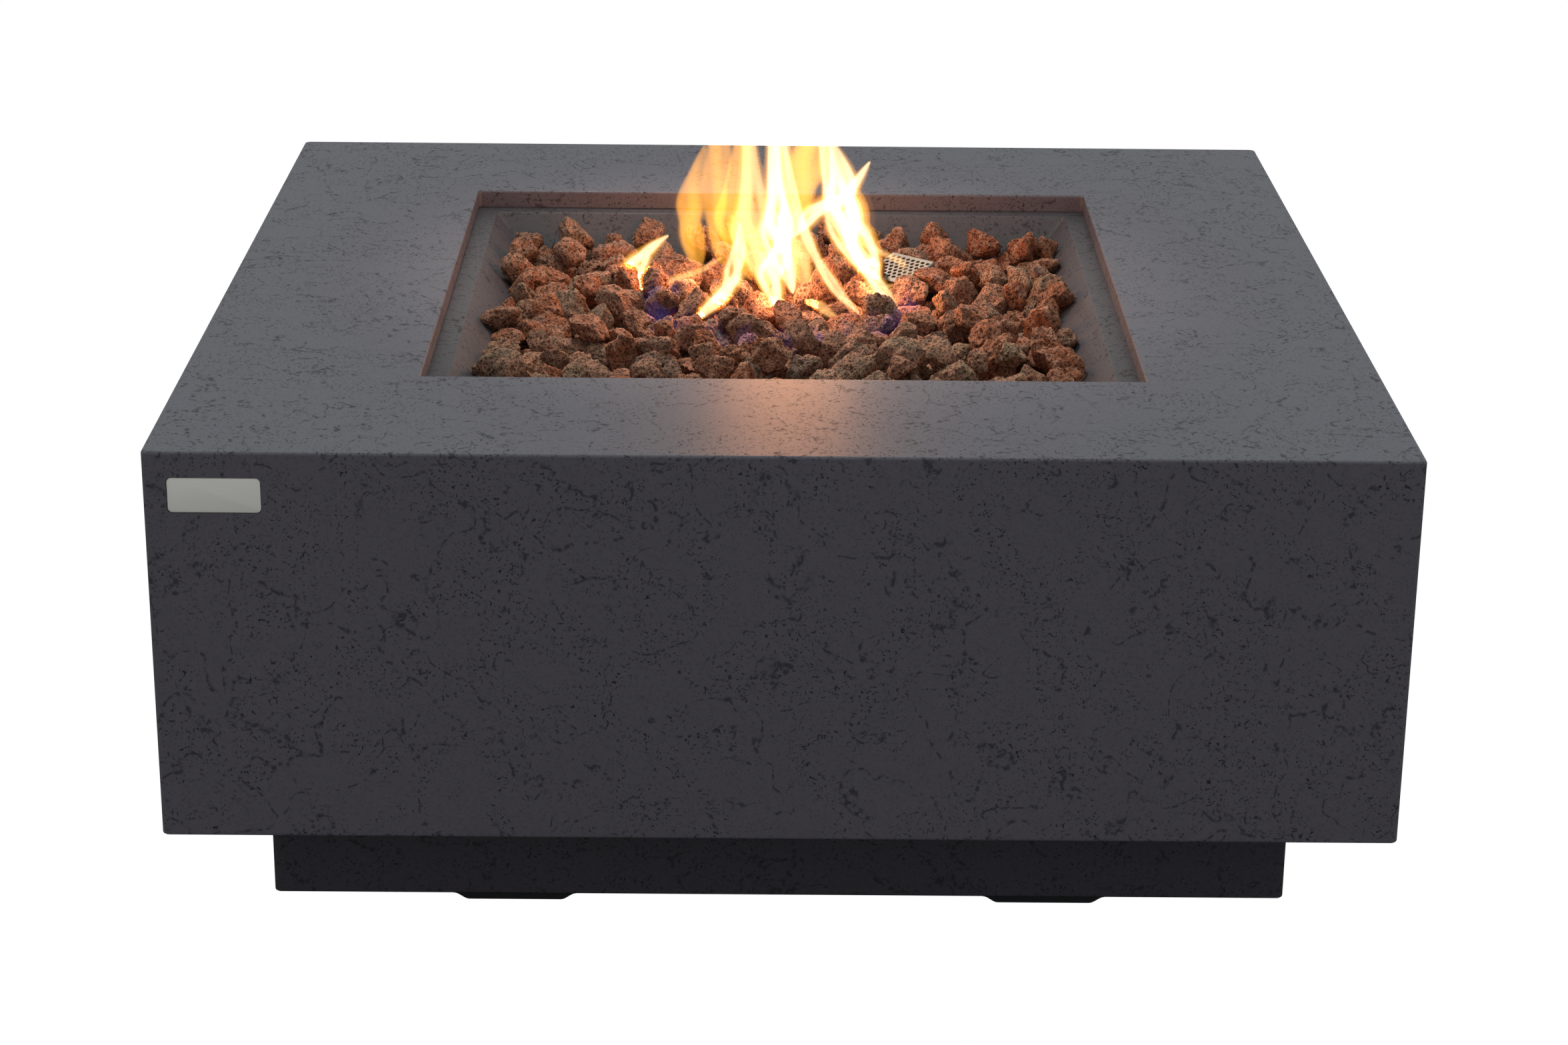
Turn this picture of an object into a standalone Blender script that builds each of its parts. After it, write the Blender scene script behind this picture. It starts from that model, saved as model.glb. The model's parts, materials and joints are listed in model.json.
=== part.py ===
"""Square gas fire table: a hollow cast block on a recessed plinth, with a sunken
basin of lava rock, a ring burner, a pilot under a perforated hood, and the valve
and igniter in a pocket in the right-hand side.

Metres, +Z up. The origin is on the ground under the middle of the table.
-Y is the front, with the badge; +X is the side with the controls.
"""
import math

import bmesh
import bpy
from mathutils import Vector

# ---- driving dimensions -------------------------------------------------------
GAP = 0.0003                     # clearance kept between neighbouring pieces

TABLE_WIDTH = 0.914
BLOCK_HEIGHT = 0.300
PLINTH_INSET = 0.070
PLINTH_HEIGHT = 0.081
PLINTH_WALL = 0.030
NOTCH_HALF = 0.040
NOTCH_TOP = 0.050
FOOT_DROP = 0.0055

DECK_THICK = 0.012
DECK_OPEN_HALF = 0.280

WALL = 0.020
SLAB = 0.015
ARRIS = 0.002
CORNER_RADIUS = 0.0045
CORNER_STEPS = 3

OPENING_WIDTH = 0.552
LEDGE = 0.017
BASIN_DEPTH = 0.080
BASIN_WALL = 0.015
BASIN_FLANGE_HALF = 0.312
ROCK_DEPTH = 0.033               # rock surface below the table top

RING_RADIUS = 0.120
RING_TUBE = 0.008
RING_LIFT = 0.016                # ring centre above the basin floor
ARM_RADIUS = 0.0068
HUB_RADIUS = 0.017
NIPPLE_RADIUS = 0.0102
LEG_HALF = 0.007

PILOT_X = 0.103
PILOT_Y = 0.118
PILOT_TURN = math.radians(-41.0)
HOOD_WIDTH = 0.048
HOOD_DEPTH = 0.040
HOOD_FRONT = 0.049
HOOD_BACK = 0.062
HOOD_SHEET = 0.0010
HOOD_HOLE_PITCH = 0.008
PILOT_PITCH = 0.011              # jet to electrode, and jet to thermocouple

POCKET_DEPTH = 0.026
POCKET_HALF_Y = 0.105
POCKET_HALF_Z = 0.050
PANEL_SHEET = 0.002
KNOB_Y = -0.045
IGNITER_Y = 0.050
VALVE_TRAVEL = 0.004

BADGE_WIDTH = 0.0667
BADGE_HEIGHT = 0.026
BADGE_FROM_SIDE = 0.0176
BADGE_FROM_TOP = 0.0197
BADGE_CORNER = 0.0035
BADGE_RECESS = 0.0018

FOOT_X = 0.203
FOOT_FLAT = 0.070
FOOT_LENGTH = 0.094
FOOT_DEPTH = 0.026

# ---- levels and faces that follow from them -----------------------------------
HALF = TABLE_WIDTH / 2.0
BLOCK_Z = FOOT_DROP + PLINTH_HEIGHT
TOP_Z = BLOCK_Z + BLOCK_HEIGHT
OPENING_HALF = OPENING_WIDTH / 2.0
LEDGE_Z = TOP_Z - SLAB - GAP
LEDGE_HALF = OPENING_HALF - LEDGE
FLOOR_Z = TOP_Z - BASIN_DEPTH
FLOOR_HALF = LEDGE_HALF - (LEDGE_Z - FLOOR_Z)
UNDER_Z = FLOOR_Z - BASIN_WALL
RING_Z = FLOOR_Z + RING_LIFT
PLINTH_HALF = HALF - PLINTH_INSET
PANEL_Z = BLOCK_Z + BLOCK_HEIGHT / 2.0
PANEL_FRONT = HALF - POCKET_DEPTH
PANEL_BACK = PANEL_FRONT - PANEL_SHEET
BOSS_X = 0.412                   # inner face of the casting's control boss
VALVE_BACK = 0.372
SPIGOT = 0.010                   # how far the valve's outlets stand out
MAIN_OUTLET_Z = PANEL_Z - 0.0065
JET_OUTLET_Z = PANEL_Z + 0.0105
JET_Y = KNOB_Y - 0.013
PROBE_Y = KNOB_Y + 0.013
SUPPLY_X = 0.400                 # where the supply comes up into the valve
INLET_Z = 0.032
INLET_Y = 0.318
ALONG_X = (0.0, math.pi / 2.0, 0.0)
ALONG_Y = (-math.pi / 2.0, 0.0, 0.0)
UPRIGHT = (math.pi / 2.0, 0.0, 0.0)

for old in list(bpy.data.objects):
    bpy.data.objects.remove(old, do_unlink=True)


# ---- materials ----------------------------------------------------------------
def principled(name, color, roughness, metallic=0.0):
    """Return a plain Principled material."""
    made = bpy.data.materials.new(name)
    made.use_nodes = True
    shader = made.node_tree.nodes["Principled BSDF"]
    shader.inputs["Base Color"].default_value = (*color, 1.0)
    shader.inputs["Roughness"].default_value = roughness
    shader.inputs["Metallic"].default_value = metallic
    made.diffuse_color = (*color, 1.0)
    return made


CONCRETE = principled("charcoal_concrete", (0.080, 0.082, 0.090), 0.55)
DARK_CONCRETE = principled("plinth_concrete", (0.020, 0.018, 0.022), 0.75)
ROCK = principled("lava_rock", (0.23, 0.10, 0.06), 0.90)
STEEL = principled("brushed_stainless", (0.56, 0.55, 0.52), 0.35, 1.0)
ZINC = principled("zinc_plated_steel", (0.45, 0.45, 0.46), 0.45, 1.0)
BRASS = principled("brass", (0.60, 0.42, 0.16), 0.35, 1.0)
ALUMINIUM = principled("aluminium", (0.62, 0.62, 0.63), 0.40, 1.0)
BOARD = principled("fibre_cement_board", (0.22, 0.21, 0.20), 0.85)
RUBBER = principled("black_rubber", (0.012, 0.012, 0.012), 0.80)
BLACK_PLASTIC = principled("black_plastic", (0.015, 0.015, 0.015), 0.40)
CERAMIC = principled("white_ceramic", (0.75, 0.73, 0.68), 0.40)
COPPER = principled("copper", (0.62, 0.30, 0.18), 0.35, 1.0)
SILICONE = principled("red_silicone", (0.35, 0.05, 0.03), 0.60)
BADGE = principled("satin_badge", (0.50, 0.47, 0.42), 0.40, 0.6)
CELL = principled("battery_wrap", (0.05, 0.08, 0.05), 0.40)


# ---- shapes -------------------------------------------------------------------
def place(mesh_data, name, surface, at=(0.0, 0.0, 0.0), turned_by=(0.0, 0.0, 0.0)):
    """Wrap a mesh or curve in a named object with its own material."""
    thing = bpy.data.objects.new(name, mesh_data)
    bpy.context.scene.collection.objects.link(thing)
    own = surface.copy()
    own.name = name + "_finish"
    mesh_data.materials.append(own)
    thing.location = at
    thing.rotation_euler = turned_by
    return thing


def finish(bm, name, smooth_angle=None):
    """Turn a closed bmesh into mesh data with its faces pointing out."""
    bmesh.ops.recalc_face_normals(bm, faces=bm.faces)
    data = bpy.data.meshes.new(name)
    bm.to_mesh(data)
    bm.free()
    if smooth_angle is not None:
        data.shade_smooth()
        data.set_sharp_from_angle(angle=math.radians(smooth_angle))
    return data


def square_ring(half, corner):
    """Outline of a square with rounded corners, anticlockwise."""
    outline = []
    for quarter in range(4):
        middle = math.pi / 4.0 + quarter * math.pi / 2.0
        reach = (half - corner) * math.sqrt(2.0)
        center = Vector((reach * math.cos(middle), reach * math.sin(middle)))
        for step in range(CORNER_STEPS + 1):
            angle = (quarter + step / CORNER_STEPS) * math.pi / 2.0
            outline.append(center + corner * Vector((math.cos(angle), math.sin(angle))))
    return outline


def square_loft(name, levels, surface, closed):
    """Join square outlines given as (half width, corner radius, height).

    A closed loft runs back to its first outline and makes a ring; an open one is
    capped at both ends.
    """
    bm = bmesh.new()
    rings = []
    for half, corner, height in levels:
        ring = [bm.verts.new((p.x, p.y, height)) for p in square_ring(half, corner)]
        rings.append(ring)
    pairs = list(zip(rings, rings[1:]))
    if closed:
        pairs.append((rings[-1], rings[0]))
    else:
        bm.faces.new(rings[0])
        bm.faces.new(rings[-1])
    for low, high in pairs:
        for i in range(len(low)):
            j = (i + 1) % len(low)
            bm.faces.new((low[i], low[j], high[j], high[i]))
    return place(finish(bm, name), name, surface)


def prism(name, outline, low, high, surface, at=(0.0, 0.0, 0.0), turned_by=(0.0, 0.0, 0.0)):
    """Extrude a closed outline of (x, y) points from height low to high."""
    bm = bmesh.new()
    bottom = [bm.verts.new((x, y, low)) for x, y in outline]
    face = bm.faces.new(bottom)
    raised = bmesh.ops.extrude_face_region(bm, geom=[face])["geom"]
    tops = [item for item in raised if isinstance(item, bmesh.types.BMVert)]
    bmesh.ops.translate(bm, verts=tops, vec=(0.0, 0.0, high - low))
    return place(finish(bm, name), name, surface, at, turned_by)


def block(name, low, high, surface, at=(0.0, 0.0, 0.0), turned_by=(0.0, 0.0, 0.0)):
    """Box from corner low to corner high, about the object's own origin."""
    outline = [(low[0], low[1]), (high[0], low[1]), (high[0], high[1]), (low[0], high[1])]
    return prism(name, outline, low[2], high[2], surface, at, turned_by)


def turned(name, profile, surface, at, axis=(0.0, 0.0, 0.0), steps=20, ring=False, smooth=40.0):
    """Spin a (radius, height) profile about the object's own Z.

    A ring profile runs back to its first point and leaves a bore.
    """
    bm = bmesh.new()
    loops = []
    for radius, height in profile:
        if radius == 0.0:
            loops.append([bm.verts.new((0.0, 0.0, height))])
            continue
        angles = [2.0 * math.pi * i / steps for i in range(steps)]
        loops.append([bm.verts.new((radius * math.cos(a), radius * math.sin(a), height)) for a in angles])
    pairs = list(zip(loops, loops[1:]))
    if ring:
        pairs.append((loops[-1], loops[0]))
    for first, second in pairs:
        for i in range(steps):
            j = (i + 1) % steps
            near = [first[i % len(first)], first[j % len(first)]]
            far = [second[j % len(second)], second[i % len(second)]]
            bm.faces.new(list(dict.fromkeys(near + far)))
    for end in (loops[0], loops[-1]):
        if not ring and len(end) > 1:
            bm.faces.new(end)
    return place(finish(bm, name, smooth), name, surface, at, axis)


def rod(radius, low, high):
    """Profile of a plain solid cylinder."""
    return [(0.0, low), (radius, low), (radius, high), (0.0, high)]


def sleeve(inner, outer, low, high):
    """Profile of a plain tube, for a ring."""
    return [(inner, low), (outer, low), (outer, high), (inner, high)]


def combine(target, helper, operation="DIFFERENCE"):
    """Cut with a helper shape, or join it on; the helper itself isn't a part."""
    helper.hide_render = True
    helper.display_type = "WIRE"
    change = target.modifiers.new(helper.name, "BOOLEAN")
    change.operation = operation
    change.solver = "EXACT"
    change.object = helper


def cut_hole(target, name, radius, low, high, at, axis=(0.0, 0.0, 0.0), steps=20):
    """Drill a round hole from low to high along the local Z of the placed cutter."""
    combine(target, turned(name, rod(radius, low, high), STEEL, at, axis, steps))


def smooth_route(knots, per_span=7):
    """Points on a smooth curve through the knots; the first and last spans stay straight."""
    route = [Vector(knots[0])]
    for i in range(1, len(knots) - 2):
        a, b, c, d = (Vector(knot) for knot in knots[i - 1:i + 3])
        for step in range(per_span):
            t = step / per_span
            bend = (2.0 * a - 5.0 * b + 4.0 * c - d) * t * t + (3.0 * b - a - 3.0 * c + d) * t ** 3
            route.append(0.5 * (2.0 * b + (c - a) * t + bend))
    route.append(Vector(knots[-2]))
    route.append(Vector(knots[-1]))
    return route


def tube(name, knots, radius, surface, per_span=7):
    """Round tube or lead along a smooth route, with flat ends."""
    curve = bpy.data.curves.new(name, "CURVE")
    curve.dimensions = "3D"
    route = smooth_route(knots, per_span)
    spline = curve.splines.new("POLY")
    spline.points.add(len(route) - 1)
    for point, spot in zip(spline.points, route):
        point.co = (*spot, 1.0)
    curve.bevel_depth = radius
    curve.bevel_resolution = 2
    curve.use_fill_caps = True
    return place(curve, name, surface)


def rounded_outline(half_x, half_y, corner, steps=4):
    """Outline of a rectangle with rounded corners."""
    outline = []
    for quarter, (sx, sy) in enumerate(((1, 1), (-1, 1), (-1, -1), (1, -1))):
        for step in range(steps + 1):
            angle = (quarter + step / steps) * math.pi / 2.0
            x = sx * (half_x - corner) + corner * math.cos(angle)
            y = sy * (half_y - corner) + corner * math.sin(angle)
            outline.append((x, y))
    return outline


# ---- castings -----------------------------------------------------------------
def edge_arc(half, top, outward):
    """Levels round a small arris, from the side face on to the top face."""
    levels = []
    for step in range(3):
        angle = step * math.pi / 4.0
        run = ARRIS * (1.0 - math.cos(angle))
        levels.append((half - outward * run, top - ARRIS * (1.0 - math.sin(angle))))
    return levels


def table_shell():
    """Hollow cast block: four walls and the top slab, open below."""
    levels = [(HALF - ARRIS, CORNER_RADIUS - ARRIS / 2.0, BLOCK_Z), (HALF, CORNER_RADIUS, BLOCK_Z + ARRIS)]
    levels += [(half, CORNER_RADIUS - (HALF - half), z) for half, z in edge_arc(HALF, TOP_Z, 1.0)]
    inner = [(half, 0.003, z) for half, z in edge_arc(OPENING_HALF, TOP_Z, -1.0)]
    levels += reversed(inner)
    levels.append((OPENING_HALF, 0.003, TOP_Z - SLAB))
    levels.append((HALF - WALL, 0.010, TOP_Z - SLAB))
    levels.append((HALF - WALL, 0.010, BLOCK_Z))
    shell = square_loft("table_shell", levels, CONCRETE, closed=True)

    middle = (0.0, 0.0, PANEL_Z)
    boss = block("boss_form", (BOSS_X, -0.130, -0.075), (HALF - WALL / 2.0, 0.130, 0.075), CONCRETE, middle)
    combine(shell, boss, "UNION")
    pocket_low = (PANEL_BACK - GAP, -POCKET_HALF_Y, -POCKET_HALF_Z)
    pocket = block("pocket_form", pocket_low, (HALF + 0.02, POCKET_HALF_Y, POCKET_HALF_Z), CONCRETE, middle)
    combine(shell, pocket)
    window = block("window_form", (BOSS_X - 0.01, -0.088, -0.036), (HALF, 0.088, 0.036), CONCRETE, middle)
    combine(shell, window)
    for index, (y, z) in enumerate(panel_screw_places()):
        cut_hole(shell, f"insert_form_{index}", 0.0024, -0.012, 0.004, (PANEL_BACK, y, z), ALONG_X, 8)

    badge_x, badge_z = badge_center()
    room = 0.0004
    outline = rounded_outline(BADGE_WIDTH / 2.0 + room, BADGE_HEIGHT / 2.0 + room, BADGE_CORNER)
    at = (badge_x, -HALF, badge_z)
    combine(shell, prism("badge_form", outline, -BADGE_RECESS, 0.01, CONCRETE, at, UPRIGHT))


def fire_basin():
    """Cast tray hung under the opening: flange, sloped walls and a flat floor."""
    spread = BASIN_WALL * math.sqrt(2.0)
    flange_under = LEDGE_Z - BASIN_WALL
    levels = [
        (FLOOR_HALF, 0.003, FLOOR_Z),
        (LEDGE_HALF, 0.003, LEDGE_Z),
        (BASIN_FLANGE_HALF, 0.006, LEDGE_Z),
        (BASIN_FLANGE_HALF, 0.006, flange_under),
        (LEDGE_HALF - BASIN_WALL + spread, 0.006, flange_under),
        (FLOOR_HALF - BASIN_WALL + spread, 0.006, UNDER_Z),
    ]
    basin = square_loft("fire_basin", levels, CONCRETE, closed=False)
    cut_hole(basin, "nipple_form", 0.0112, UNDER_Z - 0.01, FLOOR_Z + 0.01, (0.0, 0.0, 0.0))
    passage = block("pilot_form", (-0.018, -0.010, -0.03), (0.018, 0.010, 0.01), CONCRETE,
                    (PILOT_X, PILOT_Y, FLOOR_Z), (0.0, 0.0, PILOT_TURN))
    combine(basin, passage)
    for index in range(4):
        angle = (index + 0.5) * math.pi / 2.0
        spot = (0.225 * math.cos(angle), 0.225 * math.sin(angle), 0.0)
        cut_hole(basin, f"weep_form_{index}", 0.005, UNDER_Z - 0.01, FLOOR_Z + 0.01, spot, steps=8)


def plinth_frame():
    """Recessed cast ring under the block, with a notch at the back for the hose."""
    inner = PLINTH_HALF - PLINTH_WALL
    top = BLOCK_Z - GAP
    levels = [
        (PLINTH_HALF - ARRIS, CORNER_RADIUS, FOOT_DROP),
        (PLINTH_HALF, CORNER_RADIUS, FOOT_DROP + ARRIS),
        (PLINTH_HALF, CORNER_RADIUS, top),
        (inner, 0.008, top),
        (inner, 0.008, FOOT_DROP),
    ]
    plinth = square_loft("plinth_frame", levels, DARK_CONCRETE, closed=True)
    low = (-NOTCH_HALF, inner - 0.02, -0.02)
    notch = block("notch_form", low, (NOTCH_HALF, PLINTH_HALF + 0.02, NOTCH_TOP), DARK_CONCRETE)
    combine(plinth, notch)


def base_deck():
    """Board ring that closes the overhang and joins the block to the plinth."""
    outer = HALF - WALL - 0.0008
    levels = [
        (outer, 0.012, BLOCK_Z),
        (outer, 0.012, BLOCK_Z + DECK_THICK),
        (DECK_OPEN_HALF, 0.020, BLOCK_Z + DECK_THICK),
        (DECK_OPEN_HALF, 0.020, BLOCK_Z),
    ]
    square_loft("base_deck", levels, BOARD, closed=True)


def foot_pads():
    """Four low pads under the front and back of the plinth, with curved ends."""
    top = FOOT_DROP - GAP
    run = (FOOT_LENGTH - FOOT_FLAT) / 2.0
    rise = []
    for step in range(7):
        t = step / 6.0
        rise.append((FOOT_FLAT / 2.0 + run * t, top * (0.5 - 0.5 * math.cos(math.pi * t))))
    outline = rise + [(-x, z) for x, z in reversed(rise)]
    edge = PLINTH_HALF - PLINTH_WALL / 2.0
    for end_name, end in (("front", -1), ("rear", 1)):
        for side_name, side in (("left", -1), ("right", 1)):
            spot = (side * FOOT_X, end * edge, 0.0)
            name = f"foot_{end_name}_{side_name}"
            prism(name, outline, -FOOT_DEPTH / 2.0, FOOT_DEPTH / 2.0, RUBBER, spot, UPRIGHT)


def sides():
    """The four sides of the table as (name, turn about Z)."""
    return (("right", 0.0), ("rear", math.pi / 2.0), ("left", math.pi), ("front", -math.pi / 2.0))


def deck_brackets():
    """Steel angles that hold the deck to the walls, one on each side."""
    wall = HALF - WALL - GAP
    deck = DECK_THICK + GAP
    outline = [(0.382, deck), (wall, deck), (wall, deck + 0.040), (wall - 0.003, deck + 0.040),
               (wall - 0.003, deck + 0.003), (0.382, deck + 0.003)]
    for name, turn in sides():
        angle = prism(f"deck_bracket_{name}", outline, -0.030, 0.030, ZINC)
        angle.rotation_euler = (math.pi / 2.0, 0.0, turn)
        angle.location = (0.0, 0.0, BLOCK_Z)


def basin_cleats():
    """Stepped steel cleats that clamp the basin's flange under the slab."""
    under_slab = -SLAB - GAP
    under_flange = -SLAB - 2.0 * GAP - BASIN_WALL
    plate = under_flange - 0.003
    step = BASIN_FLANGE_HALF + 0.004
    outline = [(0.288, plate), (0.346, plate), (0.346, under_slab), (step, under_slab),
               (step, under_flange), (0.288, under_flange)]
    for name, turn in sides():
        cleat = prism(f"basin_cleat_{name}", outline, -0.025, 0.025, ZINC)
        cleat.rotation_euler = (math.pi / 2.0, 0.0, turn)
        cleat.location = (0.0, 0.0, TOP_Z)


def badge_center():
    """Middle of the badge on the front face, as (x, z)."""
    return (-HALF + BADGE_FROM_SIDE + BADGE_WIDTH / 2.0, TOP_Z - BADGE_FROM_TOP - BADGE_HEIGHT / 2.0)


def badge_plate():
    """Blank satin plate let into the front face."""
    x, z = badge_center()
    outline = rounded_outline(BADGE_WIDTH / 2.0, BADGE_HEIGHT / 2.0, BADGE_CORNER)
    prism("badge_plate", outline, GAP - BADGE_RECESS, -0.0002, BADGE, (x, -HALF, z), UPRIGHT)


# ---- fire: burner, rock and pilot -----------------------------------------------
def burner_ring():
    """Ring tube with two cross tubes that meet in a threaded hub."""
    bm = bmesh.new()
    rings = []
    around = 40
    tube_steps = 10
    for i in range(around):
        turn = 2.0 * math.pi * i / around
        loop = []
        for j in range(tube_steps):
            swing = 2.0 * math.pi * j / tube_steps
            reach = RING_RADIUS + RING_TUBE * math.cos(swing)
            spot = (reach * math.cos(turn), reach * math.sin(turn), RING_TUBE * math.sin(swing))
            loop.append(bm.verts.new(spot))
        rings.append(loop)
    for i in range(around):
        first = rings[i]
        second = rings[(i + 1) % around]
        for j in range(tube_steps):
            k = (j + 1) % tube_steps
            bm.faces.new((first[j], second[j], second[k], first[k]))
    middle = (0.0, 0.0, RING_Z)
    ring = place(finish(bm, "burner_ring", 40.0), "burner_ring", STEEL, middle)
    reach = RING_RADIUS - 0.002
    for index, turn in enumerate((0.0, math.pi / 2.0)):
        lie = (math.pi / 2.0, 0.0, turn)
        arm = turned(f"arm_form_{index}", rod(ARM_RADIUS, -reach, reach), STEEL, middle, lie, 12)
        combine(ring, arm, "UNION")
    combine(ring, turned("hub_form", rod(HUB_RADIUS, -0.011, 0.010), STEEL, middle, steps=16), "UNION")
    cut_hole(ring, "hub_bore_form", NIPPLE_RADIUS + 0.0004, -0.02, 0.006, middle, steps=16)


def burner_legs():
    """Small saddle blocks between the basin floor and the ring."""
    height = RING_LIFT - RING_TUBE - 2.0 * GAP
    for index in range(4):
        turn = (index + 0.5) * math.pi / 2.0
        spot = (RING_RADIUS * math.cos(turn), RING_RADIUS * math.sin(turn), FLOOR_Z + GAP)
        low = (-LEG_HALF, -LEG_HALF, 0.0)
        block(f"burner_leg_{index + 1}", low, (LEG_HALF, LEG_HALF, height), ZINC, spot, (0.0, 0.0, turn))


def burner_feed():
    """Nipple through the floor, its locknut, the air mixer and the orifice."""
    at = (0.0, 0.0, FLOOR_Z)
    turned("hub_nipple", sleeve(0.007, NIPPLE_RADIUS, -0.038, 0.020), ZINC, at, steps=16, ring=True)
    under = (0.0, 0.0, UNDER_Z - GAP)
    locknut = turned("nipple_locknut", rod(0.019, -0.010, 0.0), ZINC, under, steps=6, smooth=None)
    cut_hole(locknut, "locknut_bore_form", NIPPLE_RADIUS + 0.0005, -0.02, 0.01, (0.0, 0.0, UNDER_Z), steps=16)
    bore = [(0.0068, -0.090), (0.0145, -0.090), (0.0145, -0.027), (NIPPLE_RADIUS + 0.0004, -0.027),
            (NIPPLE_RADIUS + 0.0004, -0.068), (0.0068, -0.076)]
    mixer = turned("air_mixer", bore, BRASS, at, steps=20, ring=True)
    combine(mixer, block("air_slot_form", (-0.020, -0.004, -0.072), (0.020, 0.004, -0.050), BRASS, at))
    tail = [(0.0, -0.118), (0.0065, -0.118), (0.0065, -0.107), (0.0115, -0.107), (0.0115, -0.0905),
            (0.0063, -0.0905), (0.0063, -0.078), (0.0, -0.078)]
    turned("orifice_fitting", tail, BRASS, at, steps=12, smooth=25.0)
    low = FLOOR_Z - 0.118 - GAP
    route = [
        (0.0, 0.0, low),
        (0.0, 0.0, low - 0.010),
        (0.016, -0.002, low - 0.031),
        (0.070, -0.010, low - 0.042),
        (0.190, -0.030, low - 0.030),
        (0.290, -0.043, 0.212),
        (0.345, KNOB_Y, MAIN_OUTLET_Z),
        (VALVE_BACK - SPIGOT - GAP, KNOB_Y, MAIN_OUTLET_Z),
    ]
    tube("feed_tube", route, 0.005, ALUMINIUM)


def lava_rock_bed():
    """Loose rock as one plain solid round and over the burner."""
    low = FLOOR_Z + GAP
    high = TOP_Z - ROCK_DEPTH
    clear = 0.0006
    levels = [(FLOOR_HALF - clear, 0.004, low), (FLOOR_HALF - clear + high - low, 0.004, high)]
    bed = square_loft("lava_rock_bed", levels, ROCK, closed=False)
    pocket = turned("burner_room_form", rod(0.1315, -0.02, RING_LIFT + RING_TUBE + 0.003), ROCK,
                    (0.0, 0.0, FLOOR_Z), steps=32)
    combine(bed, pocket)
    room = 0.002
    hood_room = block("hood_room_form", (-HOOD_WIDTH / 2.0 - room, -HOOD_DEPTH / 2.0 - room, -0.02),
                      (HOOD_WIDTH / 2.0 + room, HOOD_DEPTH / 2.0 + room, 0.1), ROCK,
                      (PILOT_X, PILOT_Y, FLOOR_Z), (0.0, 0.0, PILOT_TURN))
    combine(bed, hood_room)


def hood_wedge(name, margin, low, lowered, open_front):
    """Solid with the hood's sloped top; margin and lowered shrink it inward."""
    half_x = HOOD_WIDTH / 2.0 - margin
    front = -HOOD_DEPTH / 2.0 - (0.01 if open_front else 0.0)
    back = HOOD_DEPTH / 2.0 - margin
    slope = (HOOD_BACK - HOOD_FRONT) / HOOD_DEPTH
    front_top = HOOD_FRONT - lowered + slope * (front + HOOD_DEPTH / 2.0)
    back_top = HOOD_FRONT - lowered + slope * (back + HOOD_DEPTH / 2.0)
    outline = [(front, low), (back, low), (back, back_top), (front, front_top)]
    wedge = prism(name, outline, -half_x, half_x, STEEL, (PILOT_X, PILOT_Y, FLOOR_Z))
    wedge.rotation_euler = (math.pi / 2.0, 0.0, PILOT_TURN + math.pi / 2.0)
    return wedge


def pilot_hood():
    """Folded sheet hood over the pilot, open towards the ring, top perforated."""
    hood = hood_wedge("pilot_hood", 0.0, 0.0022, 0.0, False)
    combine(hood, hood_wedge("hood_inside_form", HOOD_SHEET, -0.02, HOOD_SHEET * 1.1, True))
    drill = bmesh.new()
    slope = math.atan2(HOOD_BACK - HOOD_FRONT, HOOD_DEPTH)
    for row in range(4):
        for column in range(5):
            x = (column - 2 + 0.5 * (row % 2) - 0.25) * HOOD_HOLE_PITCH
            y = (row - 1.5) * HOOD_HOLE_PITCH * 0.866
            low = [drill.verts.new((x + 0.002 * math.cos(a), y + 0.002 * math.sin(a), -0.006))
                   for a in (math.pi * i / 3.0 for i in range(6))]
            high = [drill.verts.new(v.co + Vector((0.0, 0.0, 0.012))) for v in low]
            drill.faces.new(low)
            drill.faces.new(high)
            for i in range(6):
                j = (i + 1) % 6
                drill.faces.new((low[i], low[j], high[j], high[i]))
    holes = place(finish(drill, "perforation_form"), "perforation_form", STEEL)
    holes.location = (PILOT_X, PILOT_Y, FLOOR_Z + (HOOD_FRONT + HOOD_BACK) / 2.0)
    holes.rotation_euler = (slope, 0.0, PILOT_TURN)
    combine(hood, holes)


def pilot_spot(x, z=0.0):
    """World place of a point on the pilot's own cross line."""
    return (PILOT_X + x * math.cos(PILOT_TURN), PILOT_Y + x * math.sin(PILOT_TURN), FLOOR_Z + z)


def pilot_parts():
    """Bracket over the floor passage with pilot jet, spark electrode and thermocouple."""
    bracket = block("pilot_bracket", (-0.021, -0.015, GAP), (0.021, 0.015, 0.0018), ZINC, pilot_spot(0.0),
                    (0.0, 0.0, PILOT_TURN))
    for index, (x, radius) in enumerate(((-PILOT_PITCH, 0.0034), (0.0, 0.0044), (PILOT_PITCH, 0.0028))):
        cut_hole(bracket, f"jet_form_{index}", radius, -0.02, 0.02, pilot_spot(x), steps=12)
    jet = [(0.0, -0.022), (0.004, -0.022), (0.004, 0.020), (0.0055, 0.022), (0.0055, 0.030), (0.0, 0.030)]
    turned("pilot_burner", jet, BRASS, pilot_spot(0.0), steps=12)
    spark = [(0.0, -0.020), (0.003, -0.020), (0.003, 0.020), (0.0009, 0.022), (0.0009, 0.033), (0.0, 0.033)]
    turned("spark_electrode", spark, CERAMIC, pilot_spot(-PILOT_PITCH), steps=10)
    probe = [(0.0, -0.020), (0.0024, -0.020), (0.0024, 0.028), (0.0017, 0.034), (0.0, 0.036)]
    turned("thermocouple", probe, COPPER, pilot_spot(PILOT_PITCH), steps=10)


# ---- controls -------------------------------------------------------------------
def panel_screw_places():
    """Four screw places near the panel's corners, as (y, z)."""
    return [(y, PANEL_Z + z) for y in (-0.0965, 0.0965) for z in (-0.0430, 0.0430)]


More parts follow.
